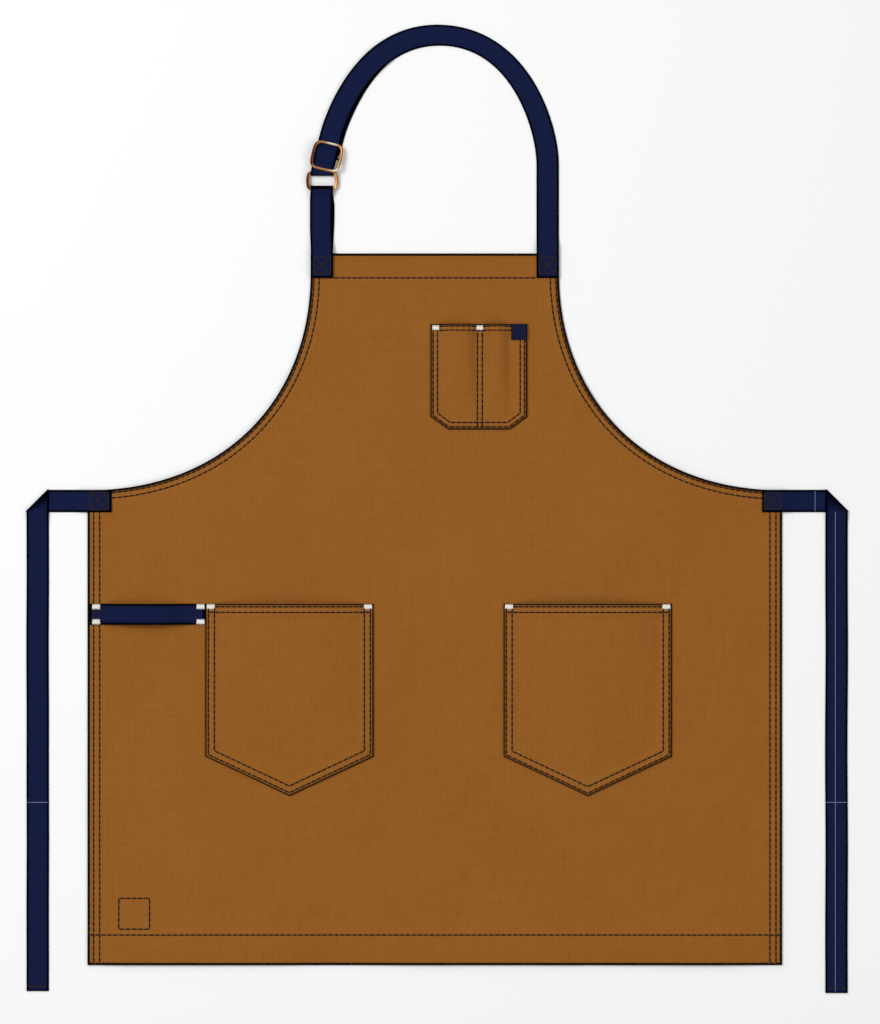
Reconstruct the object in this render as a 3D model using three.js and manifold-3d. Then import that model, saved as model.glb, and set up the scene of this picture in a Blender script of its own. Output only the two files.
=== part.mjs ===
// Grill apron lying flat with its front face up: a canvas panel with a bib, a chest pocket, two
// pointed pockets and a towel loop, with webbing waist ties and an adjustable webbing neck strap.
// Lengths are millimetres. +X is the right of the front view, +Y runs to the neck, +Z is the front.
// The drawing plan has x = 0 on the panel's centre line, y = 0 at its lower hem, z = 0 underneath.
import * as THREE from 'three';
import { mergeVertices } from 'three/addons/utils/BufferGeometryUtils.js';
import Module from 'manifold-3d';

const wasm = await Module();
wasm.setup();

// Canvas and the gap between pieces
const canvasThickness = 1.0;
const hemThickness = 2.2;
const clearance = 0.3;

// Panel
const panelWidth = 735;
const waistHeight = 502.5; // lower hem to the corner between side and armhole
const bibHeight = 250.5; // that corner to the top of the bib
const bibWidth = 263;
const bibStraight = 22; // upright stretch at the top of the bib's side
const armholeDrop = 0.56; // share of the armhole's height along which it leaves the bib upright
const armholeReach = 0.63; // share of its width along which it meets the corner level
const sideHem = 15;
const armholeHem = 11.5;
const topHem = 27;
const lowerHem = 34;

// Webbing
const webbingWidth = 23.7;
const webbingThickness = 1.3;
const rampLength = 15; // run in which webbing comes down from a raised seat

// Neck strap
const neckInset = 0.2; // side of the bib to the edge of the webbing
const neckLap = 26; // length sewn onto the bib
const neckUpright = 93.6; // top of the bib to the start of the arch on the right
const archRise = 137.4;
const archOffset = 3.6; // crown of the arch right of the centre line
const archShoulder = 0.75; // share of the half width that the crown stays level on the right
const archSlope = 0.615; // the same on the left, where the strap hangs from the ring
const archFoot = 0.29; // share of the rise that the right foot stays upright
const archHook = 0.47; // share of the rise that the left foot stays straight
const archLean = 0.16; // sideways lean of the left foot for each unit of height
const shortStrapLength = 69.2; // top of the bib to the ring's lower bar
const shortPlyShift = 1.4; // how far the rear ply of the short strap shows at its right edge
const tailLength = 142; // ring to the free end of the doubled strap
const tailShift = 2.4; // how far the tail shows on the inner side of the arch
const tailShiftFrom = 20; // ring to the place where it starts to show
const tailShiftPeak = 55; // ring to the place where it shows most
const crownNarrow = 0.07; // share of its width that the strap loses as it cups over the crown
const crownFrom = 130; // ring to the start of that
const crownTo = 400;

// Ring and slider
const ringWidth = 34;
const ringHeight = 20;
const ringWire = 3.6;
const ringCorner = 4.6;
const ringBow = 1; // how far its upright sides bow out
const ringShift = 0.3; // how far it sits right of the straps' middle
const sliderWidth = 33.6;
const sliderLength = 31.7;
const sliderWire = 3.2;
const sliderCorner = 6.4;
const sliderBow = 1;
const sliderShift = 0.45;
const sliderBar = 2.4;
const sliderGap = 0.4; // ring to slider along the strap

// Waist ties
const leftTieLap = 25.7; // length sewn onto the panel
const rightTieLap = 21.2;
const tieInset = 0.3; // waist corner down to the edge of the webbing
const leftTieReach = 52.7; // side of the panel to the middle of the hanging run
const rightTieReach = 57.6;
const leftTieDrop = 27.5; // lower hem to the end of the tie
const rightTieDrop = 29.6;

// Chest pocket
const chestWidth = 102.3;
const chestHeight = 111.7;
const chestOffset = 46.6; // middle of the pocket right of the centre line
const chestDrop = 74.6; // top of the bib to the mouth
const chestClipWidth = 18.5;
const chestClipHeight = 13.5;
const chestSeam = 52.2; // left edge to the middle of the dividing seam
const chestBulge = 7;

// Pointed pockets
const pocketWidth = 178;
const pocketSide = 161.7; // height at the sides
const pocketPoint = 41.8; // extra height at the middle
const leftPocketOffset = 153.8; // centre line to the middle of the pocket
const rightPocketOffset = 161.7;
const pocketDrop = 120.1; // waist corner down to the mouth
const pocketBulge = 10;

// Sewn bands of the pockets
const pocketHem = 2; // thickness where a pocket's edge is turned under
const pocketBand = 12;
const chestBand = 9;
const mouthHem = 13;
const hemStep = 1.6; // run in which a turned edge thins to one ply

// Towel loop
const loopWidth = 22.2;
const loopInset = 2.3; // side of the panel to the end of the loop
const loopGap = 0.4; // loop to the left pocket
const loopSeat = 13; // length of each sewn end
const loopBulge = 9;

// Label and bar tacks
const labelSize = 16.9;
const labelThickness = 0.6;
const tackWidth = 8.4;
const tackHeight = 5.6;
const tackThickness = 0.8;
const tackInset = 1.6;
const tackCorner = 1.2;

// Places worked out from the sizes above
const halfPanel = panelWidth / 2;
const halfBib = bibWidth / 2;
const bibTop = waistHeight + bibHeight;
const hemSeat = hemThickness + clearance; // where a piece rests on a hem
const panelSeat = canvasThickness + clearance; // where a piece rests on the single ply
const strapX = halfBib - neckInset - webbingWidth / 2;
const floorPly = webbingThickness / 2; // middle of webbing that lies on the floor
const plyPitch = webbingThickness + clearance;
const hemPly = hemSeat + webbingThickness / 2;
const ringY = bibTop + shortStrapLength + (ringHeight - ringWire) / 2;
const ringZ = plyPitch + ringWire / 2;
const wrapRadius = ringWire / 2 + clearance + webbingThickness / 2;
const pocketTop = waistHeight - pocketDrop;
const chestTop = bibTop - chestDrop;
const chestLeft = chestOffset - chestWidth / 2;

const colours = {
  canvas: 0x8f5a24,
  navy: 0x161e3f,
  copper: 0xa56c42,
  thread: 0xe9e4db,
};

const finishes = {
  canvas: { color: colours.canvas, roughness: 0.9, metalness: 0 },
  webbing: { color: colours.navy, roughness: 0.8, metalness: 0 },
  copper: { color: colours.copper, roughness: 0.3, metalness: 1 },
  thread: { color: colours.thread, roughness: 0.7, metalness: 0 },
};

const apron = new THREE.Group();

function addPiece(name, geometry, finish) {
  const piece = new THREE.Mesh(geometry, new THREE.MeshStandardMaterial(finishes[finish]));
  piece.name = name;
  apron.add(piece);
  return piece;
}

function smooth(share) {
  const t = THREE.MathUtils.clamp(share, 0, 1);
  return t * t * (3 - 2 * t);
}

function between(low, high, share) {
  return low + (high - low) * share;
}

// Booleans on closed meshes

function solidFrom(geometry) {
  const bare = geometry.clone();
  bare.deleteAttribute('normal');
  bare.deleteAttribute('uv');
  const merged = mergeVertices(bare, 1e-4);
  return new wasm.Manifold(new wasm.Mesh({
    numProp: 3,
    vertProperties: new Float32Array(merged.attributes.position.array),
    triVerts: new Uint32Array(merged.index.array),
  }));
}

function geometryFrom(solid) {
  const mesh = solid.getMesh();
  const geometry = new THREE.BufferGeometry();
  geometry.setAttribute('position', new THREE.BufferAttribute(mesh.vertProperties, 3));
  geometry.setIndex(new THREE.BufferAttribute(mesh.triVerts, 1));
  geometry.computeVertexNormals();
  return geometry;
}

// A closed body from rows of points, each row a loop round the body; ends are capped or joined up
function skin(rows, joined) {
  const count = rows[0].length;
  const positions = rows.flat().flatMap((point) => [point.x, point.y, point.z]);
  const faces = [];
  const spans = joined ? rows.length : rows.length - 1;
  for (let row = 0; row < spans; row += 1) {
    const next = (row + 1) % rows.length;
    for (let side = 0; side < count; side += 1) {
      const beside = (side + 1) % count;
      const a = row * count + side;
      const b = row * count + beside;
      const c = next * count + beside;
      const d = next * count + side;
      faces.push(a, b, c, a, c, d);
    }
  }
  if (!joined) {
    const last = (rows.length - 1) * count;
    for (let side = 1; side < count - 1; side += 1) {
      faces.push(0, side + 1, side);
      faces.push(last, last + side, last + side + 1);
    }
  }
  const geometry = new THREE.BufferGeometry();
  geometry.setAttribute('position', new THREE.Float32BufferAttribute(positions, 3));
  geometry.setIndex(faces);
  geometry.computeVertexNormals();
  return geometry;
}

// Webbing along stations: each has its middle, the half width as a vector, and perhaps its face
function ribbon(stations, thickness) {
  const rows = stations.map((station, index) => {
    const before = stations[Math.max(index - 1, 0)].at;
    const after = stations[Math.min(index + 1, stations.length - 1)].at;
    const along = after.clone().sub(before);
    const face = station.face ?? station.across.clone().cross(along).normalize();
    const up = face.clone().multiplyScalar(thickness / 2);
    const corner = (side, level) => station.at.clone()
      .addScaledVector(station.across, side)
      .addScaledVector(up, level);
    return [corner(-1, -1), corner(-1, 1), corner(1, 1), corner(1, -1)];
  });
  return skin(rows, false);
}

// Panel

// Armhole from the bib's side to the waist corner, moved inwards by an inset
function armholePoints(inset) {
  const fall = bibHeight - bibStraight;
  const reach = halfPanel - halfBib;
  const start = new THREE.Vector2(halfBib, bibTop - bibStraight);
  const end = new THREE.Vector2(halfPanel, waistHeight);
  const curve = new THREE.CubicBezierCurve(
    start,
    new THREE.Vector2(start.x, start.y - armholeDrop * fall),
    new THREE.Vector2(end.x - armholeReach * reach, end.y),
    end,
  );
  const steps = 16;
  return Array.from({ length: steps + 1 }, (unused, index) => {
    const point = curve.getPoint(index / steps);
    const tangent = curve.getTangent(index / steps);
    return new THREE.Vector2(point.x + tangent.y * inset, point.y - tangent.x * inset);
  });
}

// Right half of the outline with its hems taken off, from the lower middle to the upper middle
function halfOutline(hems) {
  const side = halfPanel - hems.side;
  const armhole = armholePoints(hems.armhole);
  const inside = armhole.filter((point) => point.x <= side);
  const outside = armhole.find((point) => point.x > side);
  const last = inside[inside.length - 1];
  const share = outside ? (side - last.x) / (outside.x - last.x) : 0;
  const corner = outside ? last.clone().lerp(outside, share) : last.clone();
  return [
    new THREE.Vector2(side, hems.lower),
    corner,
    ...inside.reverse().filter((point) => point.distanceTo(corner) > clearance),
    new THREE.Vector2(halfBib - hems.armhole, bibTop - hems.top),
  ];
}

function outlineBlock(hems, low, high) {
  const right = halfOutline(hems);
  const left = right.map((point) => new THREE.Vector2(-point.x, point.y)).reverse();
  const block = new THREE.ExtrudeGeometry(new THREE.Shape([...right, ...left]), {
    depth: high - low,
    bevelEnabled: false,
  });
  block.translate(0, 0, low);
  return block;
}

function panelGeometry() {
  const edge = { side: 0, armhole: 0, top: 0, lower: 0 };
  const turned = { side: sideHem, armhole: armholeHem, top: topHem, lower: lowerHem };
  const whole = solidFrom(outlineBlock(edge, 0, hemThickness));
  const field = solidFrom(outlineBlock(turned, canvasThickness, 2 * hemThickness));
  return geometryFrom(whole.subtract(field));
}

addPiece('front_panel', panelGeometry(), 'canvas');

// Pockets

// A pocket is a sheet sewn down at its sides and foot and raised between its seams, open at the top
function pocketGeometry(pocket) {
  const inner = pocket.columns.filter((x) => (
    x > pocket.left + pocket.band + hemStep + clearance
    && x < pocket.right - pocket.farBand - hemStep - clearance
  ));
  const columns = [
    pocket.left,
    pocket.left + pocket.band,
    pocket.left + pocket.band + hemStep,
    ...inner,
    pocket.right - pocket.farBand - hemStep,
    pocket.right - pocket.farBand,
    pocket.right,
  ];
  const shares = [0.14, 0.3, 0.48, 0.66, 0.84];
  const heightAt = (x, row) => {
    const foot = pocket.footAt(x);
    const high = pocket.top - mouthHem - hemStep;
    const low = foot + pocket.band + hemStep;
    const levels = [
      pocket.top,
      pocket.top - mouthHem,
      high,
      ...shares.map((share) => between(high, low, share)),
      low,
      foot + pocket.band,
      foot,
    ];
    return levels[row];
  };
  const rowCount = shares.length + 6;
  const isBand = (column, row) => (
    column < 2 || column > columns.length - 3 || row < 2 || row > rowCount - 3
  );
  const raised = (x, y) => {
    const slot = pocket.slots.find((each) => x > each.from && x < each.to);
    if (!slot) {
      return 0;
    }
    const foot = pocket.footAt(x) + pocket.band;
    const across = (x - slot.from) / (slot.to - slot.from);
    const up = THREE.MathUtils.clamp((y - foot) / (pocket.top - foot), 0, 1);
    return slot.height * Math.sin(Math.PI * across) ** 0.7 * Math.sin((Math.PI / 2) * up) ** 0.8;
  };
  const point = (column, row, upper) => {
    const x = columns[column];
    const y = heightAt(x, row);
    const ply = isBand(column, row) ? pocketHem : canvasThickness;
    return new THREE.Vector3(x, y, panelSeat + raised(x, y) + (upper ? ply : 0));
  };
  // Each row of the skin runs across the underside and back along the top face
  const rows = Array.from({ length: rowCount }, (unused, row) => {
    const under = columns.map((x, column) => point(column, row, false));
    const over = columns.map((x, column) => point(column, row, true)).reverse();
    return [...under, ...over];
  });
  return sheetSkin(rows, columns.length);
}

// Like skin, with both ends closed by strips between the upper and lower faces
function sheetSkin(rows, columns) {
  const count = 2 * columns;
  const shell = skin(rows, true);
  const spans = rows.length - 1;
  const kept = Array.from(shell.index.array.slice(0, spans * count * 6));
  const last = spans * count;
  for (let column = 0; column < columns - 1; column += 1) {
    const beside = column + 1;
    const over = count - 1 - column;
    const overBeside = over - 1;
    kept.push(column, over, overBeside, column, overBeside, beside);
    kept.push(last + column, last + beside, last + overBeside);
    kept.push(last + column, last + overBeside, last + over);
  }
  shell.setIndex(kept);
  return shell;
}

function pointedPocket(offset) {
  const left = offset - pocketWidth / 2;
  const right = offset + pocketWidth / 2;
  const side = pocketTop - pocketSide;
  const from = left + pocketBand + hemStep;
  const to = right - pocketBand - hemStep;
  const steps = 12;
  return pocketGeometry({
    left,
    right,
    top: pocketTop,
    band: pocketBand,
    farBand: pocketBand,
    columns: Array.from({ length: steps - 1 }, (unused, index) => between(from, to, (index + 1) / steps)),
    footAt: (x) => side - pocketPoint * (1 - Math.abs(x - offset) / (pocketWidth / 2)),
    slots: [{ from, to, height: pocketBulge }],
  });
}

function chestPocket() {
  const right = chestLeft + chestWidth;
  const foot = chestTop - chestHeight;
  const seam = chestLeft + chestSeam;
  const labelBand = labelSize + clearance;
  const slots = [
    { from: chestLeft + chestBand + hemStep, to: seam - chestBand / 2, height: chestBulge },
    { from: seam + chestBand / 2, to: right - labelBand - hemStep, height: chestBulge },
  ];
  const steps = 6;
  const clip = chestLeft + chestClipWidth;
  const across = slots.flatMap((slot) => Array.from({ length: steps + 1 }, (unused, index) => (
    between(slot.from, slot.to, index / steps)
  )));
  return pocketGeometry({
    left: chestLeft,
    right,
    top: chestTop,
    band: chestBand,
    farBand: labelBand,
    columns: [clip, ...across.filter((x) => Math.abs(x - clip) > hemStep)].sort((a, b) => a - b),
    footAt: (x) => {
      const inset = Math.min(x - chestLeft, right - x);
      return foot + chestClipHeight * Math.max(0, 1 - inset / chestClipWidth);
    },
    slots,
  });
}

addPiece('chest_pocket', chestPocket(), 'canvas');
addPiece('pocket_left', pointedPocket(-leftPocketOffset), 'canvas');
addPiece('pocket_right', pointedPocket(rightPocketOffset), 'canvas');

// Towel loop

const loopStart = loopInset - halfPanel;
const loopEnd = -leftPocketOffset - pocketWidth / 2 - loopGap;
const loopY = pocketTop - loopWidth / 2;
const loopHalf = new THREE.Vector3(0, loopWidth / 2, 0);

function loopStations() {
  const from = loopStart + loopSeat;
  const to = loopEnd - loopSeat;
  const steps = 20;
  const heightAt = (share) => (
    between(hemPly, panelSeat + webbingThickness / 2, smooth(share))
    + loopBulge * Math.sin(Math.PI * share) ** 1.4
  );
  const arc = Array.from({ length: steps + 1 }, (unused, index) => {
    const share = index / steps;
    return new THREE.Vector3(between(from, to, share), loopY, heightAt(share));
  });
  const points = [
    new THREE.Vector3(loopStart, loopY, arc[0].z),
    ...arc,
    new THREE.Vector3(loopEnd, loopY, arc[steps].z),
  ];
  return points.map((at) => ({ at, across: loopHalf }));
}

addPiece('towel_loop', ribbon(loopStations(), webbingThickness), 'webbing');

// Slider and ring

// Where the slider's bars lie, measured along the strap from the ring's upper bar
const barSpan = (sliderLength - sliderWire) / 2;
const nearBar = ringWire / 2 + sliderGap + sliderWire / 2;
const middleBar = nearBar + barSpan;
const farBar = middleBar + barSpan;
const strapOverRing = ringZ + wrapRadius;
const barClear = sliderWire / 2 + clearance + webbingThickness / 2;
const nearBarZ = strapOverRing + barClear - clearance;
const farBarZ = floorPly + plyPitch + barClear;
const middleBarZ = farBarZ - clearance;
const plyOverBar = middleBarZ + sliderBar / 2 + clearance + webbingThickness / 2;

// Rounded rectangle of round wire lying flat with its upright sides bowed out, middle at the origin
function wireFrame(width, height, wire, corner, bow) {
  const halfX = (width - wire) / 2;
  const halfY = (height - wire) / 2;
  const bend = corner - wire / 2;
  const cornerSteps = 4;
  const bowSteps = 6;
  const sides = 8;
  const straightY = halfY - bend;
  const bowAt = (y) => bow * Math.cos((Math.PI / 2) * Math.min(1, Math.abs(y) / halfY));
  const quarters = [[1, 1], [-1, 1], [-1, -1], [1, -1]];
  const path = quarters.flatMap(([signX, signY], quarter) => {
    const bent = Array.from({ length: cornerSteps + 1 }, (unused, index) => {
      const angle = (quarter + index / cornerSteps) * (Math.PI / 2);
      const out = new THREE.Vector3(Math.cos(angle), Math.sin(angle), 0);
      const centre = new THREE.Vector3(signX * (halfX - bow - bend), signY * straightY, 0);
      return { at: centre.addScaledVector(out, bend), out };
    });
    // An upright side follows the second and the fourth corner
    const side = signX === signY ? [] : Array.from({ length: bowSteps - 1 }, (unused, index) => {
      const y = signY * between(straightY, -straightY, (index + 1) / bowSteps);
      return { at: new THREE.Vector3(signX * (halfX - bow), y, 0), out: new THREE.Vector3(signX, 0, 0) };
    });
    return [...bent, ...side];
  });
  path.forEach(({ at }) => {
    at.x += Math.sign(at.x) * bowAt(at.y);
  });
  const rows = path.map(({ at, out }) => Array.from({ length: sides }, (unused, index) => {
    const angle = (index / sides) * 2 * Math.PI;
    const point = at.clone().addScaledVector(out, Math.cos(angle) * (wire / 2));
    point.z += Math.sin(angle) * (wire / 2);
    return point;
  }).reverse());
  return skin(rows, true);
}

const ring = addPiece(
  'strap_ring',
  wireFrame(ringWidth, ringHeight, ringWire, ringCorner, ringBow),
  'copper',
);
ring.position.set(ringShift - strapX, ringY, ringZ);

// Neck strap route in plan, from the ring's upper bar over the neck to the right of the bib
const archY = bibTop + neckUpright;
const crownY = archY + archRise;
const routeFoot = ringY + (ringHeight - ringWire) / 2;
const leftRise = crownY - routeFoot;
const neckRoute = new THREE.CurvePath();
neckRoute.add(new THREE.CubicBezierCurve(
  new THREE.Vector2(-strapX, routeFoot),
  new THREE.Vector2(-strapX + archLean * archHook * leftRise, routeFoot + archHook * leftRise),
  new THREE.Vector2(archOffset - archSlope * strapX, crownY),
  new THREE.Vector2(archOffset, crownY),
));
neckRoute.add(new THREE.CubicBezierCurve(
  new THREE.Vector2(archOffset, crownY),
  new THREE.Vector2(archOffset + archShoulder * (strapX - archOffset), crownY),
  new THREE.Vector2(strapX, archY + archFoot * archRise),
  new THREE.Vector2(strapX, archY),
));
neckRoute.add(new THREE.LineCurve(
  new THREE.Vector2(strapX, archY),
  new THREE.Vector2(strapX, bibTop - neckLap),
));
const routeLength = neckRoute.getLength();

function routeAt(along) {
  const share = THREE.MathUtils.clamp(along / routeLength, 0, 1);
  return { point: neckRoute.getPointAt(share), tangent: neckRoute.getTangentAt(share) };
}

// Middle of the rear ply above the floor: it climbs over the slider's middle bar and comes down
function rearPly(along) {
  const up = smooth((along - ringWire) / (middleBar - sliderBar - ringWire));
  const down = smooth((along - middleBar - sliderBar / 2) / (barSpan - sliderBar));
  return floorPly + (plyOverBar - floorPly) * up * (1 - down);
}

// Middle of the front ply: over the ring, under the slider's near bar, then on the rear ply
function frontPly(along) {
  const step = clearance / 2;
  const slope = (rearPly(along + step) - rearPly(along - step)) / (2 * step);
  const stacked = rearPly(along) + plyPitch * Math.hypot(1, slope);
  const settle = smooth((along - nearBar) / (middleBar - nearBar));
  const held = strapOverRing - clearance * smooth(along / nearBar);
  const past = along > middleBar ? 0 : between(held, held * 0.9, settle);
  const tailEnd = smooth((along - tailLength - clearance) / rampLength);
  const rest = between(Math.max(stacked, past), floorPly, tailEnd);
  const toHem = (routeLength - neckLap - along) / rampLength;
  return rest + (hemPly - floorPly) * smooth(1 - toHem + clearance);
}

// Half width across the strap; close to the ring it turns to lie along the ring's bar
function strapAcross(along, tangent) {
  const square = new THREE.Vector3(tangent.y, -tangent.x, 0);
  const barwise = new THREE.Vector3(1, 0, 0);
  const crown = between(crownFrom, crownTo, 0.4);
  const before = smooth((along - crownFrom) / (crown - crownFrom));
  const after = smooth((crownTo - along) / (crownTo - crown));
  const half = (webbingWidth / 2) * (1 - crownNarrow * before * after);
  return barwise.lerp(square, smooth(along / (2 * nearBar))).setLength(half);
}

// How far the tail is moved to the inner side of the arch
function tailShiftAt(along) {
  const fall = Math.max(0, along - tailShiftPeak) / (tailLength - tailShiftPeak);
  return tailShift * smooth((along - tailShiftFrom) / rampLength) * (1 - fall ** 2);
}

function strapStation(along, level, shift) {
  const { point, tangent } = routeAt(along);
  const across = strapAcross(along, tangent);
  const at = new THREE.Vector3(point.x, point.y, level(along));
  at.addScaledVector(across, shift / (webbingWidth / 2));
  return { at, across };
}

// Half turn of webbing round a bar that lies along X, bulging to one side in Y
function wrapStations(x, barY, bulge, fromTop) {
  const steps = 8;
  const across = new THREE.Vector3(webbingWidth / 2, 0, 0);
  return Array.from({ length: steps + 1 }, (unused, index) => {
    const turn = (index / steps) * Math.PI;
    const out = new THREE.Vector3(0, bulge * Math.sin(turn), (fromTop ? 1 : -1) * Math.cos(turn));
    const at = new THREE.Vector3(x, barY, ringZ).addScaledVector(out, wrapRadius);
    return { at, across, face: out.multiplyScalar(fromTop === bulge < 0 ? 1 : -1) };
  });
}

function spaced(from, to, pitch) {
  const count = Math.max(1, Math.round(Math.abs(to - from) / pitch));
  return Array.from({ length: count + 1 }, (unused, index) => between(from, to, index / count));
}

function longStrap() {
  const finePitch = 1.8;
  const bendPitch = 9;
  const hardware = farBar + sliderWire;
  const tail = [
    ...spaced(tailLength, hardware, bendPitch).slice(0, -1),
    ...spaced(hardware, 0, finePitch).slice(0, -1),
  ].map((along) => strapStation(along, rearPly, tailShiftAt(along)));
  const wrap = wrapStations(-strapX, routeFoot, -1, false);
  const uprightFrom = routeLength - neckLap - neckUpright;
  const hemFrom = routeLength - neckLap - rampLength;
  const front = [
    ...spaced(0, hardware, finePitch).slice(1, -1),
    ...spaced(hardware, tailLength, bendPitch).slice(0, -1),
    ...spaced(tailLength, tailLength + rampLength, rampLength / 4).slice(0, -1),
    ...spaced(tailLength + rampLength, uprightFrom, bendPitch).slice(0, -1),
    uprightFrom,
    ...spaced(hemFrom, routeLength - neckLap, rampLength / 6),
    routeLength,
  ].map((along) => strapStation(along, frontPly, 0));
  return ribbon([...tail, ...wrap, ...front], webbingThickness);
}

addPiece('neck_strap_long', longStrap(), 'webbing');

// Short strap: two plies from the bib, folded round the ring's lower bar
function shortStrap() {
  const barY = bibTop + shortStrapLength;
  const lapY = bibTop - neckLap;
  const rampEnd = bibTop + rampLength;
  const frontRun = 3 * rampLength / 4; // run in which the front ply comes down off the bar
  const across = new THREE.Vector3(webbingWidth / 2, 0, 0);
  const rearShift = (y) => shortPlyShift * smooth((barY - ringWire - y) / rampLength);
  const rearLevel = (y) => between(floorPly, hemPly, smooth((rampEnd - y) / (rampLength - 2 * clearance)));
  const rear = [
    lapY,
    ...spaced(bibTop + clearance, rampEnd, rampLength / 6),
    ...spaced(rampEnd, barY, rampLength / 2).slice(1, -1),
  ].map((y) => ({
    at: new THREE.Vector3(-strapX + rearShift(y), y, rearLevel(y)),
    across,
  }));
  const wrap = wrapStations(-strapX, barY, 1, false);
  const front = [
    ...spaced(barY, barY - frontRun, frontRun / 6).slice(1),
    ...spaced(rampEnd, bibTop + clearance, rampLength / 6),
    lapY,
  ].map((y) => {
    const held = between(strapOverRing, floorPly + plyPitch, smooth((barY - y) / frontRun));
    const slope = (rearLevel(y + clearance) - rearLevel(y - clearance)) / (2 * clearance);
    const stacked = rearLevel(y) + plyPitch * Math.hypot(1, slope);
    return { at: new THREE.Vector3(-strapX, y, Math.max(held, stacked)), across };
  });
  return ribbon([...rear, ...wrap, ...front], webbingThickness);
}

addPiece('neck_strap_short', shortStrap(), 'webbing');

// The slider leans on the strap: its near bar is high on the ring's fold, its far bar low
function sliderGeometry() {
  const frame = solidFrom(wireFrame(sliderWidth, sliderLength, sliderWire, sliderCorner, sliderBow));
  const lean = Math.atan2(nearBarZ - farBarZ, 2 * barSpan);
  const drop = between(nearBarZ, farBarZ, 0.5) - middleBarZ;
  const bar = new THREE.CylinderGeometry(sliderBar / 2, sliderBar / 2, sliderWidth - sliderWire, 10);
  bar.rotateZ(Math.PI / 2);
  bar.translate(0, 0, -drop * Math.cos(lean));
  const post = new THREE.CylinderGeometry(sliderBar / 2, sliderBar / 2, drop, 10);
  post.rotateX(Math.PI / 2);
  const posts = [-1, 1].map((side) => {
    const each = post.clone();
    each.translate(side * (sliderWidth - sliderWire) / 2, 0, -drop / 2);
    return solidFrom(each);
  });
  return geometryFrom(posts.reduce((body, each) => body.add(each), frame.add(solidFrom(bar))));
}

const sliderPlace = routeAt(middleBar);
const slider = addPiece('slider', sliderGeometry(), 'copper');
slider.rotation.order = 'ZXY';
slider.rotation.x = -Math.atan2(nearBarZ - farBarZ, 2 * barSpan);
slider.rotation.z = Math.atan2(sliderPlace.tangent.y, sliderPlace.tangent.x) - Math.PI / 2;
slider.position.set(
  sliderPlace.point.x + sliderShift * sliderPlace.tangent.y,
  sliderPlace.point.y - sliderShift * sliderPlace.tangent.x,
  between(nearBarZ, farBarZ, 0.5),
);

// Waist ties

// A tie leaves the panel level, folds over at 45 degrees and runs down past the lower hem
function waistTie(side, reach, drop, lap) {
  const tieY = waistHeight - tieInset - webbingWidth / 2;
  const half = webbingWidth / 2;
  const cornerX = halfPanel + reach;
  const foldRadius = plyPitch / 2;
  const level = new THREE.Vector3(0, half, 0);
  const crease = new THREE.Vector3(half, half, 0);
  const down = new THREE.Vector3(half, 0, 0);
  const run = [
    halfPanel - lap,
    ...spaced(halfPanel + clearance, halfPanel + rampLength, rampLength / 6),
  ].map((x) => {
    const rise = smooth((halfPanel + rampLength - x) / (rampLength - 2 * clearance));
    return { at: new THREE.Vector3(-x, tieY, between(floorPly, hemPly, rise)), across: level };
  });
  const steps = 6;
  const fold = Array.from({ length: steps + 1 }, (unused, index) => {
    const turn = (index / steps) * Math.PI;
    const out = new THREE.Vector3(-1, 1, 0).setLength(Math.sin(turn));
    out.z = -Math.cos(turn);
    const at = new THREE.Vector3(-cornerX, tieY, floorPly + foldRadius).addScaledVector(out, foldRadius);
    return { at, across: crease, face: out.negate() };
  });
  const clearY = tieY - half - clearance;
  const hang = [
    ...spaced(clearY, clearY - rampLength, rampLength / 6),
    -drop,
  ].map((y) => {
    const rise = smooth((y - clearY + rampLength) / rampLength);
    return { at: new THREE.Vector3(-cornerX, y, floorPly + plyPitch * rise), across: down };
  });
  const stations = [...run, ...fold, ...hang].map((station) => ({
    at: station.at.clone().multiply(new THREE.Vector3(-side, 1, 1)),
    across: station.across.clone().multiply(new THREE.Vector3(-side, 1, 1)),
    face: station.face?.clone().multiply(new THREE.Vector3(-side, 1, 1)),
  }));
  return ribbon(side < 0 ? stations : stations.reverse(), webbingThickness);
}

addPiece('waist_tie_left', waistTie(-1, leftTieReach, leftTieDrop, leftTieLap), 'webbing');
addPiece('waist_tie_right', waistTie(1, rightTieReach, rightTieDrop, rightTieLap), 'webbing');

// Label and bar tacks

function roundedPlate(width, height, corner, thickness) {
  const halfX = width / 2;
  const halfY = height / 2;
  const shape = new THREE.Shape();
  shape.moveTo(corner - halfX, -halfY);
  shape.lineTo(halfX - corner, -halfY);
  shape.absarc(halfX - corner, corner - halfY, corner, -Math.PI / 2, 0, false);
  shape.lineTo(halfX, halfY - corner);
  shape.absarc(halfX - corner, halfY - corner, corner, 0, Math.PI / 2, false);
  shape.lineTo(corner - halfX, halfY);
  shape.absarc(corner - halfX, halfY - corner, corner, Math.PI / 2, Math.PI, false);
  shape.lineTo(-halfX, corner - halfY);
  shape.absarc(corner - halfX, corner - halfY, corner, Math.PI, 1.5 * Math.PI, false);
  const plate = new THREE.ExtrudeGeometry(shape, { depth: thickness, bevelEnabled: false, curveSegments: 4 });
  return geometryFrom(solidFrom(plate));
}

const pocketFace = panelSeat + pocketHem + clearance; // where a piece rests on a pocket's turned edge
const label = addPiece(
  'label_tab',
  roundedPlate(labelSize, labelSize, clearance, labelThickness),
  'webbing',
);
label.position.set(chestLeft + chestWidth - labelSize / 2, chestTop - labelSize / 2, pocketFace);

function addTack(name, x, y, z) {
  const tack = addPiece(name, roundedPlate(tackWidth, tackHeight, tackCorner, tackThickness), 'thread');
  tack.position.set(x, y, z);
}

function tackRow(y, z, left, right, names) {
  addTack(names[0], left + tackInset + tackWidth / 2, y, z[0]);
  addTack(names[1], right - tackInset - tackWidth / 2, y, z[1]);
}

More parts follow.
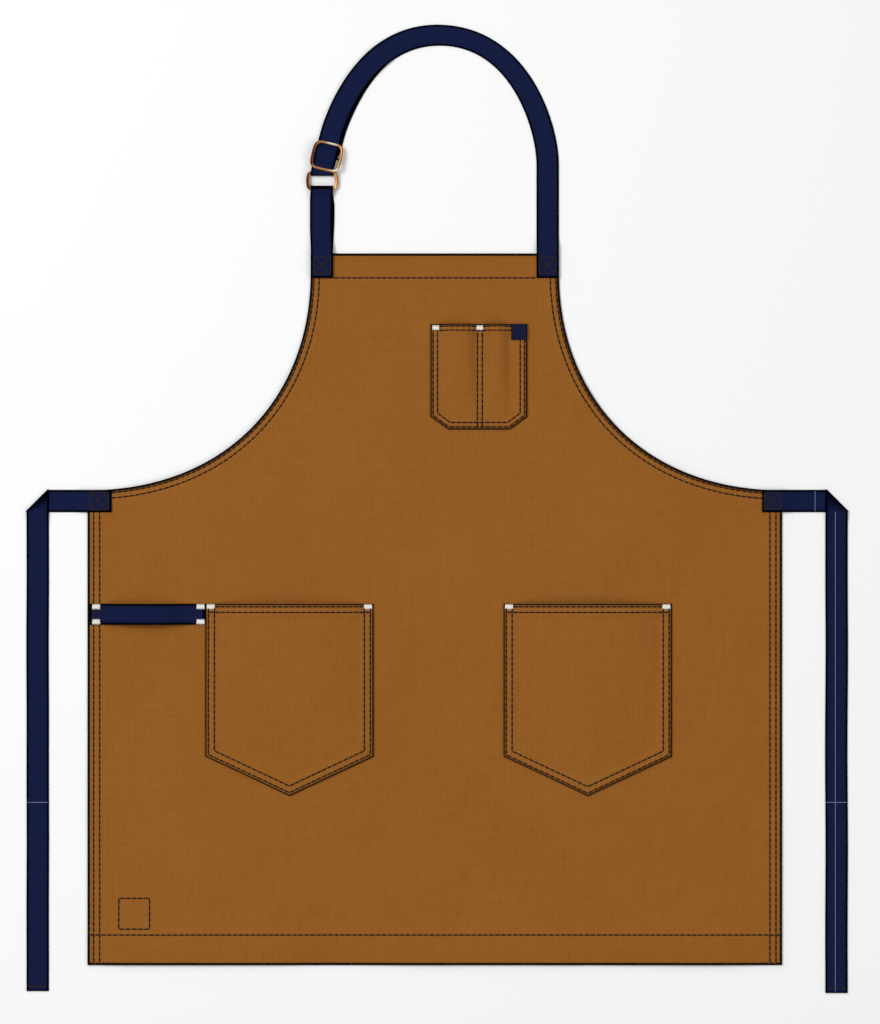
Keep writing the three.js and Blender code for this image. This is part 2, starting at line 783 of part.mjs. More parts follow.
const mouthTackY = -tackHeight / 2 - clearance;
const loopFaces = [hemSeat, panelSeat].map((seat) => seat + webbingThickness + clearance);
const loopTackDrop = loopWidth / 2 - tackHeight / 2 - clearance;
tackRow(loopY + loopTackDrop, loopFaces, loopStart, loopEnd, ['bartack_loop_a', 'bartack_loop_b']);
tackRow(loopY - loopTackDrop, loopFaces, loopStart, loopEnd, ['bartack_loop_c', 'bartack_loop_d']);
for (const [name, middle] of [['left', -leftPocketOffset], ['right', rightPocketOffset]]) {
  tackRow(
    pocketTop + mouthTackY,
    [pocketFace, pocketFace],
    middle - pocketWidth / 2,
    middle + pocketWidth / 2,
    [`bartack_${name}_a`, `bartack_${name}_b`],
  );
}
addTack('bartack_chest_a', chestLeft + tackWidth / 2 + clearance, chestTop + mouthTackY, pocketFace);
addTack('bartack_chest_b', chestLeft + chestSeam, chestTop + mouthTackY, pocketFace);

// The origin is under the middle of the whole piece
const reach = new THREE.Box3().setFromObject(apron);
const middle = reach.getCenter(new THREE.Vector3());
apron.position.set(-middle.x, -middle.y, -reach.min.z);

export default apron;
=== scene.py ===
"""Looks of a grill apron that lies flat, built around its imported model.

A field or argument that is a length is in millimetres. Shapes are worked out on the apron's plan:
x = 0 on the panel's centre line, y = 0 at its lower hem, z = 0 underneath, +z out of the front.
"""
import logging
import math
from collections.abc import Callable
from dataclasses import dataclass, field
from enum import Enum
from functools import partial
from typing import ClassVar

import bpy
import numpy as np
from bpy.types import Material, Mesh, Node, NodeSocket as Socket, NodeTree as Tree, Object
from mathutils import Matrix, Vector
from mathutils.geometry import delaunay_2d_cdt


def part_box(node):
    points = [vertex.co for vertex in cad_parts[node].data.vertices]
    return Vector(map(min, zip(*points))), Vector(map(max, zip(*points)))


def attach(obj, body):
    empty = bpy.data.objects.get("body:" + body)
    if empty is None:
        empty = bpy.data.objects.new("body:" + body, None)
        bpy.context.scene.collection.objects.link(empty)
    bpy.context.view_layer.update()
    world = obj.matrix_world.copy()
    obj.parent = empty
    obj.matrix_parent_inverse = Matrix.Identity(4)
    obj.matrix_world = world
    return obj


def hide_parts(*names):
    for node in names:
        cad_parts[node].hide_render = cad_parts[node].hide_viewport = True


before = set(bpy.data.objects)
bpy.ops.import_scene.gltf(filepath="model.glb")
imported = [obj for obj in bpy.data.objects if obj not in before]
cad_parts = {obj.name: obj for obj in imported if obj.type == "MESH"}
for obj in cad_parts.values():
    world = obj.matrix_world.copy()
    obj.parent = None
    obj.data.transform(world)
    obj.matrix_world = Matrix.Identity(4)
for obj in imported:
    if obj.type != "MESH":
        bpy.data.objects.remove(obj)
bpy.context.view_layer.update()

Array = np.ndarray
AddNode = Callable[..., Node]
MM = 0.001
BODY = "root"
log = logging.getLogger("apron")


class Slot(Enum):
    """Material slots of the record."""

    PANEL = "panel_canvas"
    POCKET = "pocket_canvas"
    WEBBING = "webbing"
    LABEL = "label_weave"
    TACK = "tack_thread"
    COPPER = "copper_wire"


class Turn(Enum):
    """Side of a bar on which webbing folds round it."""

    DOWN = -1
    UP = 1


def smooth(share: Array | float) -> Array:
    """Ease from 0 to 1 as share goes from 0 to 1."""
    t = np.clip(share, 0.0, 1.0)
    return t * t * (3.0 - 2.0 * t)


def between(low: float, high: float, share: Array | float) -> Array:
    """Straight blend from low to high."""
    return low + (high - low) * share


def spaced(start: float, end: float, pitch: float) -> Array:
    """Evenly spaced values from start to end, about a pitch apart.

    Args:
        start: First value.
        end: Last value.
        pitch: Spacing that is aimed at.

    Returns:
        The values, both ends among them.
    """
    count = max(1, round(abs(end - start) / pitch))
    return np.linspace(start, end, count + 1)


def wander(along: Array, wavelength: float, seed: int) -> Array:
    """Smooth noise along a line, from -1 to 1.

    Args:
        along: Places on the line.
        wavelength: Typical length of one wave.
        seed: Picks the waves.

    Returns:
        The noise at each place.
    """
    rng = np.random.default_rng(seed)
    waves = 5
    total = np.zeros_like(along, dtype=float)
    for stretch, phase in zip(rng.uniform(0.7, 1.6, waves), rng.uniform(0, 2 * math.pi, waves)):
        total += np.sin(2 * math.pi * along / (wavelength * stretch) + phase)
    return total / waves


def travel(line: Array) -> Array:
    """Distance walked along a line at each of its points."""
    return np.concatenate([[0.0], np.cumsum(np.linalg.norm(np.diff(line, axis=0), axis=1))])


def across_up(x: Array | float, y: Array | float) -> Array:
    """Plan points from their places across and up, one of which may be the same for all."""
    return np.stack(np.broadcast_arrays(x, y), axis=1)


def unit(rows: Array) -> Array:
    """Each row as a direction of length 1."""
    return rows / np.linalg.norm(rows, axis=1)[:, None]


def enclosed(path: Array) -> float:
    """Area inside a closed path."""
    after = np.roll(path, -1, axis=0)
    return 0.5 * abs(float(np.sum(path[:, 0] * after[:, 1] - after[:, 0] * path[:, 1])))


def bezier(ends: list, count: int = 240) -> Array:
    """Points of a cubic curve through its four ends and handles.

    Args:
        ends: Start, both handles and end.
        count: Number of points.

    Returns:
        The points.
    """
    a, b, c, d = (np.array(end, dtype=float) for end in ends)
    t = np.linspace(0, 1, count)[:, None]
    return (1 - t) ** 3 * a + 3 * (1 - t) ** 2 * t * b + 3 * (1 - t) * t**2 * c + t**3 * d


@dataclass(frozen=True)
class Plan:
    """Where the apron's plan lies in the frame."""

    centre_x: float
    hem_y: float

    @classmethod
    def from_frame(cls) -> "Plan":
        """Read the plan's place from the panel's box."""
        low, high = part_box("front_panel")
        return cls(centre_x=(low[0] + high[0]) / 2 / MM, hem_y=low[1] / MM)

    def to_frame(self, points: Array) -> Array:
        """Turn plan points in millimetres into frame points in metres."""
        return (np.asarray(points, dtype=float) + (self.centre_x, self.hem_y, 0.0)) * MM


PLAN = Plan.from_frame()


def link_object(name: str, data: bpy.types.ID) -> Object:
    """Put an object with its data into the scene."""
    thing = bpy.data.objects.new(name, data)
    bpy.context.scene.collection.objects.link(thing)
    return thing


def shade_smooth(mesh: Mesh) -> None:
    """Shade every face of a mesh smooth."""
    mesh.polygons.foreach_set("use_smooth", [True] * len(mesh.polygons))


def add_piece(
    name: str,
    points: Array,
    faces: list,
    material: Material,
    rim: Array,
    uvs: Array | None = None,
) -> Object:
    """Make a smooth mesh object at the origin from plan points.

    Args:
        name: The piece's name.
        points: Plan points, one row each.
        faces: Corner indices of each face.
        material: The piece's finish.
        rim: For each point, the mark for painted light: on cloth 1 at a cut or woven edge, where painted edge
            shade goes, and 0 away from it; on copper the plating's darkness with painted shade and
            highlights.
        uvs: For each point, its place along and across the cloth in metres.

    Returns:
        The linked object.
    """
    mesh = bpy.data.meshes.new(name)
    mesh.from_pydata(PLAN.to_frame(points).tolist(), [], faces)
    shade_smooth(mesh)
    layer = mesh.attributes.new("rim", "FLOAT", "POINT")
    layer.data.foreach_set("value", np.asarray(rim, dtype=np.float32))
    if uvs is not None:
        corners = np.empty(len(mesh.loops), dtype=np.int32)
        mesh.loops.foreach_get("vertex_index", corners)
        layer = mesh.uv_layers.new(name="cloth")
        layer.data.foreach_set("uv", np.asarray(uvs, dtype=np.float32)[corners].ravel())
    mesh.materials.append(material)
    mesh.update()
    return link_object(name, mesh)


def close_sheet(faces: list, count: int) -> list:
    """Faces of a closed sheet from those of its front.

    Args:
        faces: Front faces over the first count points, facing up.
        count: Points of one face of the sheet; the back's points follow in the same order.

    Returns:
        Front, back and edge faces.
    """
    edges = {}
    for face in faces:
        for start, end in zip(face, face[1:] + face[:1]):
            edges[(start, end)] = True
    rim = [edge for edge in edges if (edge[1], edge[0]) not in edges]
    back = [tuple(count + point for point in reversed(face)) for face in faces]
    walls = [(end, start, start + count, end + count) for start, end in rim]
    return faces + back + walls


def grid_faces(columns: int, rows: int, round_columns: bool = False, round_rows: bool = False) -> list:
    """Faces of a grid whose points run along a row and then to the next.

    Args:
        columns: Points in a row.
        rows: Number of rows.
        round_columns: Whether each row closes on itself, as round a tube.
        round_rows: Whether the last row meets the first, as in a ring.

    Returns:
        The faces, facing up where a row runs right and the rows run up.
    """
    faces = []
    for row in range(rows if round_rows else rows - 1):
        low, high = row * columns, (row + 1) % rows * columns
        for column in range(columns if round_columns else columns - 1):
            beside = (column + 1) % columns
            faces.append((low + column, low + beside, high + beside, high + column))
    return faces


def capped_tube(sides: int, rings: int) -> list:
    """Faces of a tube with both its ends closed."""
    start = tuple(reversed(range(sides)))
    end = tuple(range((rings - 1) * sides, rings * sides))
    return grid_faces(sides, rings, round_columns=True) + [start, end]


def add_cloth(
    name: str, plane: Array, sides: tuple[Array, Array, Array], faces: list,
    material: Material,
) -> Object:
    """Make cloth as a closed sheet.

    Args:
        name: The piece's name.
        plane: Its points on the plan.
        sides: For each point, the height of the front, the height of the back and the rim mark.
        faces: Faces of the front, facing up.
        material: The cloth's finish.

    Returns:
        The linked object.
    """
    front, back, rim = sides
    points = np.concatenate([np.column_stack([plane, height]) for height in (front, back)])
    return add_piece(name, points, close_sheet(faces, len(plane)), material, np.tile(rim, 2))


def place(piece: Object, slot: Slot, *nodes: str) -> Object:
    """Ride a piece on the apron and let it stand for its nodes.

    Args:
        piece: The piece.
        slot: Its slot; not used.
        nodes: Names of the nodes that it replaces.

    Returns:
        The piece.
    """
    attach(piece, BODY)
    if nodes:
        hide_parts(*nodes)
    log.info("%s: %d faces", piece.name, len(piece.data.polygons))
    return piece


def linear(colour: str, alpha: float = 1.0) -> tuple[float, float, float, float]:
    """Turn an sRGB hex colour into linear light.

    Args:
        colour: Six hex digits.
        alpha: Opacity.

    Returns:
        Red, green, blue and alpha.
    """
    parts = [int(colour[index:index + 2], 16) / 255 for index in (0, 2, 4)]
    light = [part / 12.92 if part <= 0.04045 else ((part + 0.055) / 1.055) ** 2.4 for part in parts]
    return (light[0], light[1], light[2], alpha)


WAVE = 2 * math.pi / 20.0  # length of one wave of the wave texture at scale 1


def feed(node: Node, inputs: dict) -> None:
    """Set a node's inputs, or link them to an output or to another node's first output.

    Args:
        node: The node.
        inputs: For each input's name or number, its value or what feeds it.
    """
    for key, value in inputs.items():
        if isinstance(value, Node):
            value = value.outputs[0]
        if isinstance(value, Socket):
            node.id_data.links.new(value, node.inputs[key])
        else:
            node.inputs[key].default_value = value


def add_node(tree: Tree, kind: str, inputs: dict | None = None, **settings) -> Node:
    """Add a node with its settings, values and links.

    Args:
        tree: The node tree.
        kind: The node's type.
        inputs: For each input's name or number, its value, or the output or node that feeds it.
        settings: The node's own options.

    Returns:
        The node.
    """
    node = tree.nodes.new(kind)
    for name, value in settings.items():
        setattr(node, name, value)
    feed(node, inputs or {})
    return node


def new_material(name: str) -> tuple[Material, AddNode, Node]:
    """Start a node material that holds a principled shader.

    Args:
        name: The material's name.

    Returns:
        The material, the function that adds a node to it, and the shader.
    """
    material = bpy.data.materials.new(name)
    material.use_nodes = True
    tree = material.node_tree
    return material, partial(add_node, tree), tree.nodes["Principled BSDF"]


@dataclass(frozen=True)
class DuckCanvas:
    """Heavy cotton duck, plain woven and piece dyed.

    Two thick yarns cross over and under, so the surface has a fine basket grain, thick and thin
    stretches of yarn, and a matt nap. A dark line of painted edge shade runs along cut and folded edges.
    """

    name: str = "cotton_duck_canvas"
    colour: str = "915A20"
    worn: str = "9B652B"
    shade: str = "834D18"
    # colour of the painted edge shade
    edge: str = "0D0908"
    yarn: float = 1.7  # drawn coarser than the real 0.9 mm, which the render can't show
    slub_length: float = 22.0
    slub_width: float = 1.7
    pit: float = 0.9  # brightness between two yarns
    cloud: float = 0.3  # strength of the broad mottle

    def _slubs(self, add: AddNode, spot: Socket) -> Node:
        """Thick and thin stretches of both yarns together.

        Args:
            add: Adds a node to the material.
            spot: Place on the surface.

        Returns:
            The node that adds them up.
        """
        along, across = 1 / (self.slub_length * MM), 1 / (self.slub_width * MM)
        slubs = []
        for scale, shift in (((along, across, across), 0.0), ((across, along, across), 3.1)):
            mapping = add("ShaderNodeMapping", {
                "Vector": spot, "Scale": scale, "Location": (shift, 0.0, 0.0),
            })
            slubs.append(add("ShaderNodeTexNoise", {
                "Vector": mapping, "Scale": 1.0, "Detail": 2.0, "Roughness": 0.55,
            }).outputs["Fac"])
        return add("ShaderNodeMath", dict(enumerate(slubs)), operation="ADD")

    def material(self) -> Material:
        """Build the material."""
        material, add, shader = new_material(self.name)
        spot = add("ShaderNodeTexCoord").outputs["Object"]
        yarns = [
            add("ShaderNodeTexWave", {
                "Vector": spot, "Scale": WAVE / (2 * self.yarn * MM), "Distortion": 0.6, "Detail": 1.0,
                "Detail Scale": 1.2,
            }, bands_direction=axis).outputs["Fac"]
            for axis in "XY"
        ]
        squares = add("ShaderNodeTexChecker", {"Vector": spot, "Scale": 1 / (self.yarn * MM)})
        weave = add("ShaderNodeMix", {0: squares.outputs["Fac"], 2: yarns[0], 3: yarns[1]})
        slub = self._slubs(add, spot)
        cloud = add("ShaderNodeTexNoise", {
            "Vector": spot, "Scale": 9.0, "Detail": 4.0, "Roughness": 0.6,
        }).outputs["Fac"]
        tone = add("ShaderNodeMapRange", {
            "Value": slub, "From Min": 0.6, "From Max": 1.4, "To Min": 0.35, "To Max": 0.65,
        })
        clouded = add("ShaderNodeMath", {0: cloud, 1: self.cloud, 2: tone}, operation="MULTIPLY_ADD")
        level = add("ShaderNodeMath", {0: clouded, 1: self.cloud / 2}, operation="SUBTRACT")
        dyed = add("ShaderNodeValToRGB", {"Fac": level})
        stops = dyed.color_ramp.elements
        stops[0].position, stops[0].color = 0.1, linear(self.shade)
        stops[1].position, stops[1].color = 0.9, linear(self.worn)
        stops.new(0.5).color = linear(self.colour)
        pits = add("ShaderNodeMapRange", {
            "Value": weave, "From Min": 0.0, "From Max": 0.45, "To Min": self.pit, "To Max": 1.0,
        })
        grained = add("ShaderNodeMix", {0: 1.0, 6: dyed, 7: pits}, data_type="RGBA", blend_type="MULTIPLY")
        # painted shade: the rim mark blends the cloth into the dark edge colour along its edges
        rim = add("ShaderNodeAttribute", attribute_name="rim").outputs["Fac"]
        edged = add("ShaderNodeMix", {
            0: rim, 6: grained.outputs[2], 7: linear(self.edge),
        }, data_type="RGBA")
        rough = add("ShaderNodeMapRange", {"Value": weave, "To Min": 0.95, "To Max": 0.82})
        height = add("ShaderNodeMath", {0: slub, 1: 0.35, 2: weave}, operation="MULTIPLY_ADD")
        bump = add("ShaderNodeBump", {"Height": height, "Strength": 0.45, "Distance": 0.3 * MM})
        shine = add("ShaderNodeMapRange", {"Value": rim, "To Min": 0.12, "To Max": 0.02})
        feed(shader, {
            "Base Color": edged.outputs[2], "Roughness": rough, "Normal": bump, "Specular IOR Level": shine,
            "Sheen Weight": 0.02,
        })
        return material


@dataclass(frozen=True)
class RibbedWebbing:
    """Flat cotton webbing woven on a needle loom, dyed navy.

    Weft ribs run straight across and the warp shows as a fine herringbone, so it catches light in
    short slanted steps. The selvedges are tight, with a line of painted shade along them.
    """

    name: str = "cotton_webbing_navy"
    colour: str = "0A1233"
    high: str = "172148"
    # colour of the painted shade along the selvedges, strap ends and folds
    edge: str = "010204"
    rib: float = 2.0  # drawn coarser than the real 1.2 mm
    stripe: float = 3.4  # width of one stripe of the herringbone
    streaks: tuple = (60.0, 700.0, 1.0)  # how often the warp's tone changes along and across a metre

    def material(self) -> Material:
        """Build the material."""
        material, add, shader = new_material(self.name)
        uv = add("ShaderNodeUVMap", uv_map="cloth")
        along, across, _ = add("ShaderNodeSeparateXYZ", {0: uv}).outputs
        # Zigzag of the herringbone: each stripe slants the ribs the other way
        fold = add("ShaderNodeMath", {0: across, 1: self.stripe * MM}, operation="PINGPONG")
        slanted = add("ShaderNodeMath", {0: along, 1: fold}, operation="ADD")
        turns = add("ShaderNodeMath", {0: slanted, 1: 2 * math.pi / (self.rib * MM)}, operation="MULTIPLY")
        wave = add("ShaderNodeMath", {0: turns}, operation="SINE")
        yarn = add("ShaderNodeMapRange", {"Value": wave, "From Min": -1.0, "From Max": 1.0})
        mapping = add("ShaderNodeMapping", {"Vector": uv, "Scale": self.streaks})
        streak = add("ShaderNodeTexNoise", {
            "Vector": mapping, "Scale": 1.0, "Detail": 3.0, "Roughness": 0.6,
        }).outputs["Fac"]
        height = add("ShaderNodeMath", {0: streak, 1: 0.5, 2: yarn}, operation="MULTIPLY_ADD")
        share = add("ShaderNodeMapRange", {
            "Value": height, "From Min": 0.2, "From Max": 1.3, "To Min": 0.0, "To Max": 0.7,
        })
        dyed = add("ShaderNodeMix", {
            0: share, 6: linear(self.colour), 7: linear(self.high),
        }, data_type="RGBA")
        # painted shade: the rim mark blends the webbing into the dark edge colour
        rim = add("ShaderNodeAttribute", attribute_name="rim").outputs["Fac"]
        edged = add("ShaderNodeMix", {0: rim, 6: dyed.outputs[2], 7: linear(self.edge)}, data_type="RGBA")
        rough = add("ShaderNodeMapRange", {"Value": streak, "To Min": 0.72, "To Max": 0.9})
        bump = add("ShaderNodeBump", {"Height": height, "Strength": 0.5, "Distance": 0.25 * MM})
        shine = add("ShaderNodeMapRange", {"Value": rim, "To Min": 0.07, "To Max": 0.0})
        feed(shader, {
            "Base Color": edged.outputs[2], "Roughness": rough, "Normal": bump, "Specular IOR Level": shine,
        })
        return material


@dataclass(frozen=True)
class SpunThread:
    """Polyester sewing thread, three plies twisted together.

    The twist gives fine slanted bands of light and dark, and the filament a soft gloss.
    """

    name: str
    colour: str
    dark: str
    rough: float
    twist: float = 0.9

    def material(self) -> Material:
        """Build the material."""
        material, add, shader = new_material(self.name)
        spot = add("ShaderNodeTexCoord").outputs["Object"]
        plies = add("ShaderNodeTexWave", {
            "Vector": spot, "Scale": WAVE / (self.twist * MM), "Distortion": 1.5,
        }, bands_direction="DIAGONAL").outputs["Fac"]
        spun = add("ShaderNodeMix", {
            0: plies, 6: linear(self.dark), 7: linear(self.colour),
        }, data_type="RGBA")
        rough = add("ShaderNodeMapRange", {
            "Value": plies, "To Min": self.rough + 0.12, "To Max": self.rough,
        })
        bump = add("ShaderNodeBump", {"Height": plies, "Strength": 0.35, "Distance": 0.12 * MM})
        feed(shader, {
            "Base Color": spun.outputs[2], "Roughness": rough, "Normal": bump, "Specular IOR Level": 0.2,
        })
        return material


@dataclass(frozen=True)
class DamaskLabel:
    """Damask label cloth, woven from fine polyester filament.

    Very fine yarns give a smooth satin face with a faint crosswise line.
    """

    name: str = "damask_label_navy"
    colour: str = "0A112C"
    high: str = "11183A"
    # colour of the painted edge shade
    edge: str = "020309"
    yarn: float = 0.7

    def material(self) -> Material:
        """Build the material."""
        material, add, shader = new_material(self.name)
        spot = add("ShaderNodeTexCoord").outputs["Object"]
        lines = add("ShaderNodeTexWave", {
            "Vector": spot, "Scale": WAVE / (self.yarn * MM), "Distortion": 0.4,
        }, bands_direction="Y").outputs["Fac"]
        woven = add("ShaderNodeMix", {
            0: lines, 6: linear(self.colour), 7: linear(self.high),
        }, data_type="RGBA")
        # painted edge shade: the rim mark blends the label into the dark edge colour
        rim = add("ShaderNodeAttribute", attribute_name="rim").outputs["Fac"]
        edged = add("ShaderNodeMix", {0: rim, 6: woven.outputs[2], 7: linear(self.edge)}, data_type="RGBA")
        rough = add("ShaderNodeMapRange", {"Value": lines, "To Min": 0.7, "To Max": 0.58})
        bump = add("ShaderNodeBump", {"Height": lines, "Strength": 0.3, "Distance": 0.1 * MM})
        feed(shader, {
            "Base Color": edged.outputs[2], "Roughness": rough, "Normal": bump, "Specular IOR Level": 0.08,
        })
        return material


@dataclass(frozen=True)
class AntiqueCopper:
    """Steel wire plated with copper and darkened, with painted highlights and painted shade on it.

    Painted highlights make a few spots of the crown pale and warm, painted shade gives the outer left a
    red-brown tone, and the wire is glossy with fine scratches.
    """

    name: str = "antique_copper_wire"
    # colours from the painted highlights through the plating's tones to the painted shade
    painted_highlight: str = "F6EAD8"
    bright: str = "CC9862"
    tone: str = "B0743F"
    dark: str = "4A0D06"
    blotch: float = 5.0
    scratch: float = 0.5

    def material(self) -> Material:
        """Build the material."""
        material, add, shader = new_material(self.name)
        spot = add("ShaderNodeTexCoord").outputs["Object"]
        blotches = add("ShaderNodeTexNoise", {
            "Vector": spot, "Scale": 1 / (self.blotch * MM), "Detail": 4.0, "Roughness": 0.6,
        }).outputs["Fac"]
        rim = add("ShaderNodeAttribute", attribute_name="rim").outputs["Fac"]
        mixed = add("ShaderNodeMath", {0: blotches, 1: 0.25, 2: rim}, operation="MULTIPLY_ADD")
        # painted light: the rim mark carries the plating's tone with painted shade and painted highlights,
        # and the ramp turns it into colour
        tone_and_painted_light = add("ShaderNodeValToRGB", {"Fac": mixed})
        stops = tone_and_painted_light.color_ramp.elements
        stops[0].position, stops[0].color = 0.12, linear(self.painted_highlight)
        stops[1].position, stops[1].color = 0.92, linear(self.dark)
        stops.new(0.32).color = linear(self.bright)
        stops.new(0.58).color = linear(self.tone)
        scratches = add("ShaderNodeTexNoise", {
            "Vector": spot, "Scale": 1 / (self.scratch * MM), "Detail": 3.0,
        }).outputs["Fac"]
        rough = add("ShaderNodeMapRange", {
            "Value": scratches, "From Min": 0.3, "From Max": 0.7, "To Min": 0.34, "To Max": 0.46,
        })
        bump = add("ShaderNodeBump", {"Height": scratches, "Strength": 0.12, "Distance": 0.05 * MM})
        feed(shader, {"Base Color": tone_and_painted_light, "Roughness": rough, "Normal": bump, "Metallic": 1.0})
        return material


class Finishes:
    """Every material of the apron."""

    def __init__(self) -> None:
        """Build the materials."""
        self.canvas = DuckCanvas().material()
        self.webbing = RibbedWebbing().material()
        self.seam = SpunThread("polyester_thread_umber", "221813", "0F0A09", 0.7).material()
        self.box = SpunThread("polyester_thread_bark", "32261D", "1D1510", 0.7).material()
        self.tack = SpunThread("polyester_thread_ecru", "F1ECE3", "DED8CC", 0.5).material()
        self.tracer = SpunThread("tracer_yarn_slate", "848CAC", "6B7394", 0.7).material()
        self.label = DamaskLabel().material()
        self.copper = AntiqueCopper().material()


@dataclass(frozen=True)
class Stitch:
    """One kind of stitch."""

    pitch: float  # needle hole to needle hole
    cover: float  # share of the pitch that the thread covers
    width: float
    height: float


SEAM = Stitch(pitch=6.3, cover=0.7, width=1.65, height=0.85)
BACK = Stitch(pitch=6.3, cover=0.7, width=1.3, height=0.5)
BOX = Stitch(pitch=5.2, cover=0.68, width=1.6, height=0.85)
SATIN = Stitch(pitch=4.8, cover=1.0, width=0.9, height=0.55)
TRACER = Stitch(pitch=2.2, cover=1.0, width=0.7, height=0.35)


class StitchMaker:
    """Sews rows of thread with a node tree: one arched thread for each step of a row."""

    SOCKETS = {
        "Rows": "NodeSocketGeometry", "Pitch": "NodeSocketFloat", "Cover": "NodeSocketFloat",
        "Width": "NodeSocketFloat", "Height": "NodeSocketFloat", "Seed": "NodeSocketInt",
        "Thread": "NodeSocketMaterial",
    }
    SHORTEST, LONGEST = 0.94, 1.04  # length of an uneven stitch as a share of an even one
    DIVE = -0.25  # depth of a thread's ends as a share of its height
    ARCH = 0.65  # height of the handle that bends a thread up
    BLUNTNESS = 0.22  # the lower, the blunter a thread's ends
    END_WIDTH = 0.64  # width of a thread's ends as a share of its width
    SIDES = 6  # points round a thread, and steps along it

    def __init__(self) -> None:
        """Build the tree once; every row of the apron uses it."""
        tree = bpy.data.node_groups.new("stitch_rows", "GeometryNodeTree")
        self.inputs = {
            name: tree.interface.new_socket(name=name, in_out="INPUT", socket_type=kind).identifier
            for name, kind in self.SOCKETS.items()
        }
        tree.interface.new_socket(name="Stitches", in_out="OUTPUT", socket_type="NodeSocketGeometry")
        self.tree = tree
        self.add = add = partial(add_node, tree)
        given = add("NodeGroupInput").outputs
        points, step = self._needle_steps(given)
        length = add("ShaderNodeVectorMath", {0: step}, operation="LENGTH").outputs["Value"]
        covered = add("ShaderNodeMath", {0: length, 1: given["Cover"]}, operation="MULTIPLY")
        drawn = add("ShaderNodeMath", {0: covered, 1: self._uneven(given["Seed"])}, operation="MULTIPLY")
        size = add("ShaderNodeCombineXYZ", {0: drawn, 1: given["Width"], 2: given["Height"]})
        turn = "FunctionNodeAlignRotationToVector"
        level = add(turn, {"Vector": step}, axis="X", pivot_axis="Z")
        tilted = add(turn, {"Rotation": level, "Vector": step}, axis="X", pivot_axis="Y")
        sewn = add("GeometryNodeInstanceOnPoints", {
            "Points": points, "Instance": self._thread_shape(), "Rotation": tilted, "Scale": size,
        })
        real = add("GeometryNodeRealizeInstances", {"Geometry": sewn})
        finished = add("GeometryNodeSetMaterial", {"Geometry": real, "Material": given["Thread"]})
        add("NodeGroupOutput", {0: finished})

    def _uneven(self, seed: Socket) -> Socket:
        """Length of each stitch as a share of its even length."""
        node = self.add("FunctionNodeRandomValue", {"Seed": seed}, data_type="FLOAT")
        low, high = (socket for socket in node.inputs if socket.identifier in ("Min_001", "Max_001"))
        low.default_value = self.SHORTEST
        high.default_value = self.LONGEST
        return next(socket for socket in node.outputs if socket.identifier == "Value_001")

    def _needle_steps(self, given: bpy.types.NodeOutputs) -> tuple[Socket, Socket]:
        """Split each row into steps of about the pitch.

        Args:
            given: The tree's inputs.

        Returns:
            A point in the middle of each step, and the step as a vector.
        """
        add = self.add
        curve = add("GeometryNodeMeshToCurve", {"Mesh": given["Rows"]})
        length = add("GeometryNodeSplineLength").outputs["Length"]
        pitches = add("ShaderNodeMath", {0: length, 1: given["Pitch"]}, operation="DIVIDE")
        whole = add("ShaderNodeMath", {0: pitches}, operation="ROUND")
        steps = add("ShaderNodeMath", {0: whole, 1: 1.0}, operation="MAXIMUM")
        holes = add("ShaderNodeMath", {0: steps, 1: 1.0}, operation="ADD")
        even = add("GeometryNodeResampleCurve", {"Curve": curve, "Count": holes})
        line = add("GeometryNodeCurveToMesh", {"Curve": even})
        ends = add("GeometryNodeInputMeshEdgeVertices").outputs
        step = add("ShaderNodeVectorMath", {
            0: ends["Position 2"], 1: ends["Position 1"],
        }, operation="SUBTRACT")
        capture = add("GeometryNodeCaptureAttribute", domain="EDGE")
        capture.capture_items.new("VECTOR", "Step")
        feed(capture, {"Geometry": line, "Step": step})
        marked, direction, *_ = capture.outputs
        middles = add("GeometryNodeMeshToPoints", {"Mesh": marked}, mode="EDGES")
        return middles.outputs[0], direction

    def _thread_shape(self) -> Socket:
        """One thread, 1 long, 1 wide and arched, that dives into the cloth at both ends."""
        add = self.add
        arc = add("GeometryNodeCurveQuadraticBezier", {
            "Resolution": self.SIDES, "Start": (-0.5, 0.0, self.DIVE), "Middle": (0.0, 0.0, self.ARCH),
            "End": (0.5, 0.0, self.DIVE),
        })
        along = add("GeometryNodeSplineParameter").outputs["Factor"]
        angle = add("ShaderNodeMath", {0: along, 1: math.pi}, operation="MULTIPLY")
        rise = add("ShaderNodeMath", {0: angle}, operation="SINE")
        full = add("ShaderNodeMath", {0: rise, 1: self.BLUNTNESS}, operation="POWER")
        width = add("ShaderNodeMath", {0: full, 1: self.END_WIDTH}, operation="MAXIMUM")
        circle = {"Resolution": self.SIDES, "Radius": 0.5}
        section = add("GeometryNodeCurvePrimitiveCircle", circle)
        return add("GeometryNodeCurveToMesh", {
            "Curve": arc, "Profile Curve": section, "Scale": width, "Fill Caps": True,
        }).outputs[0]

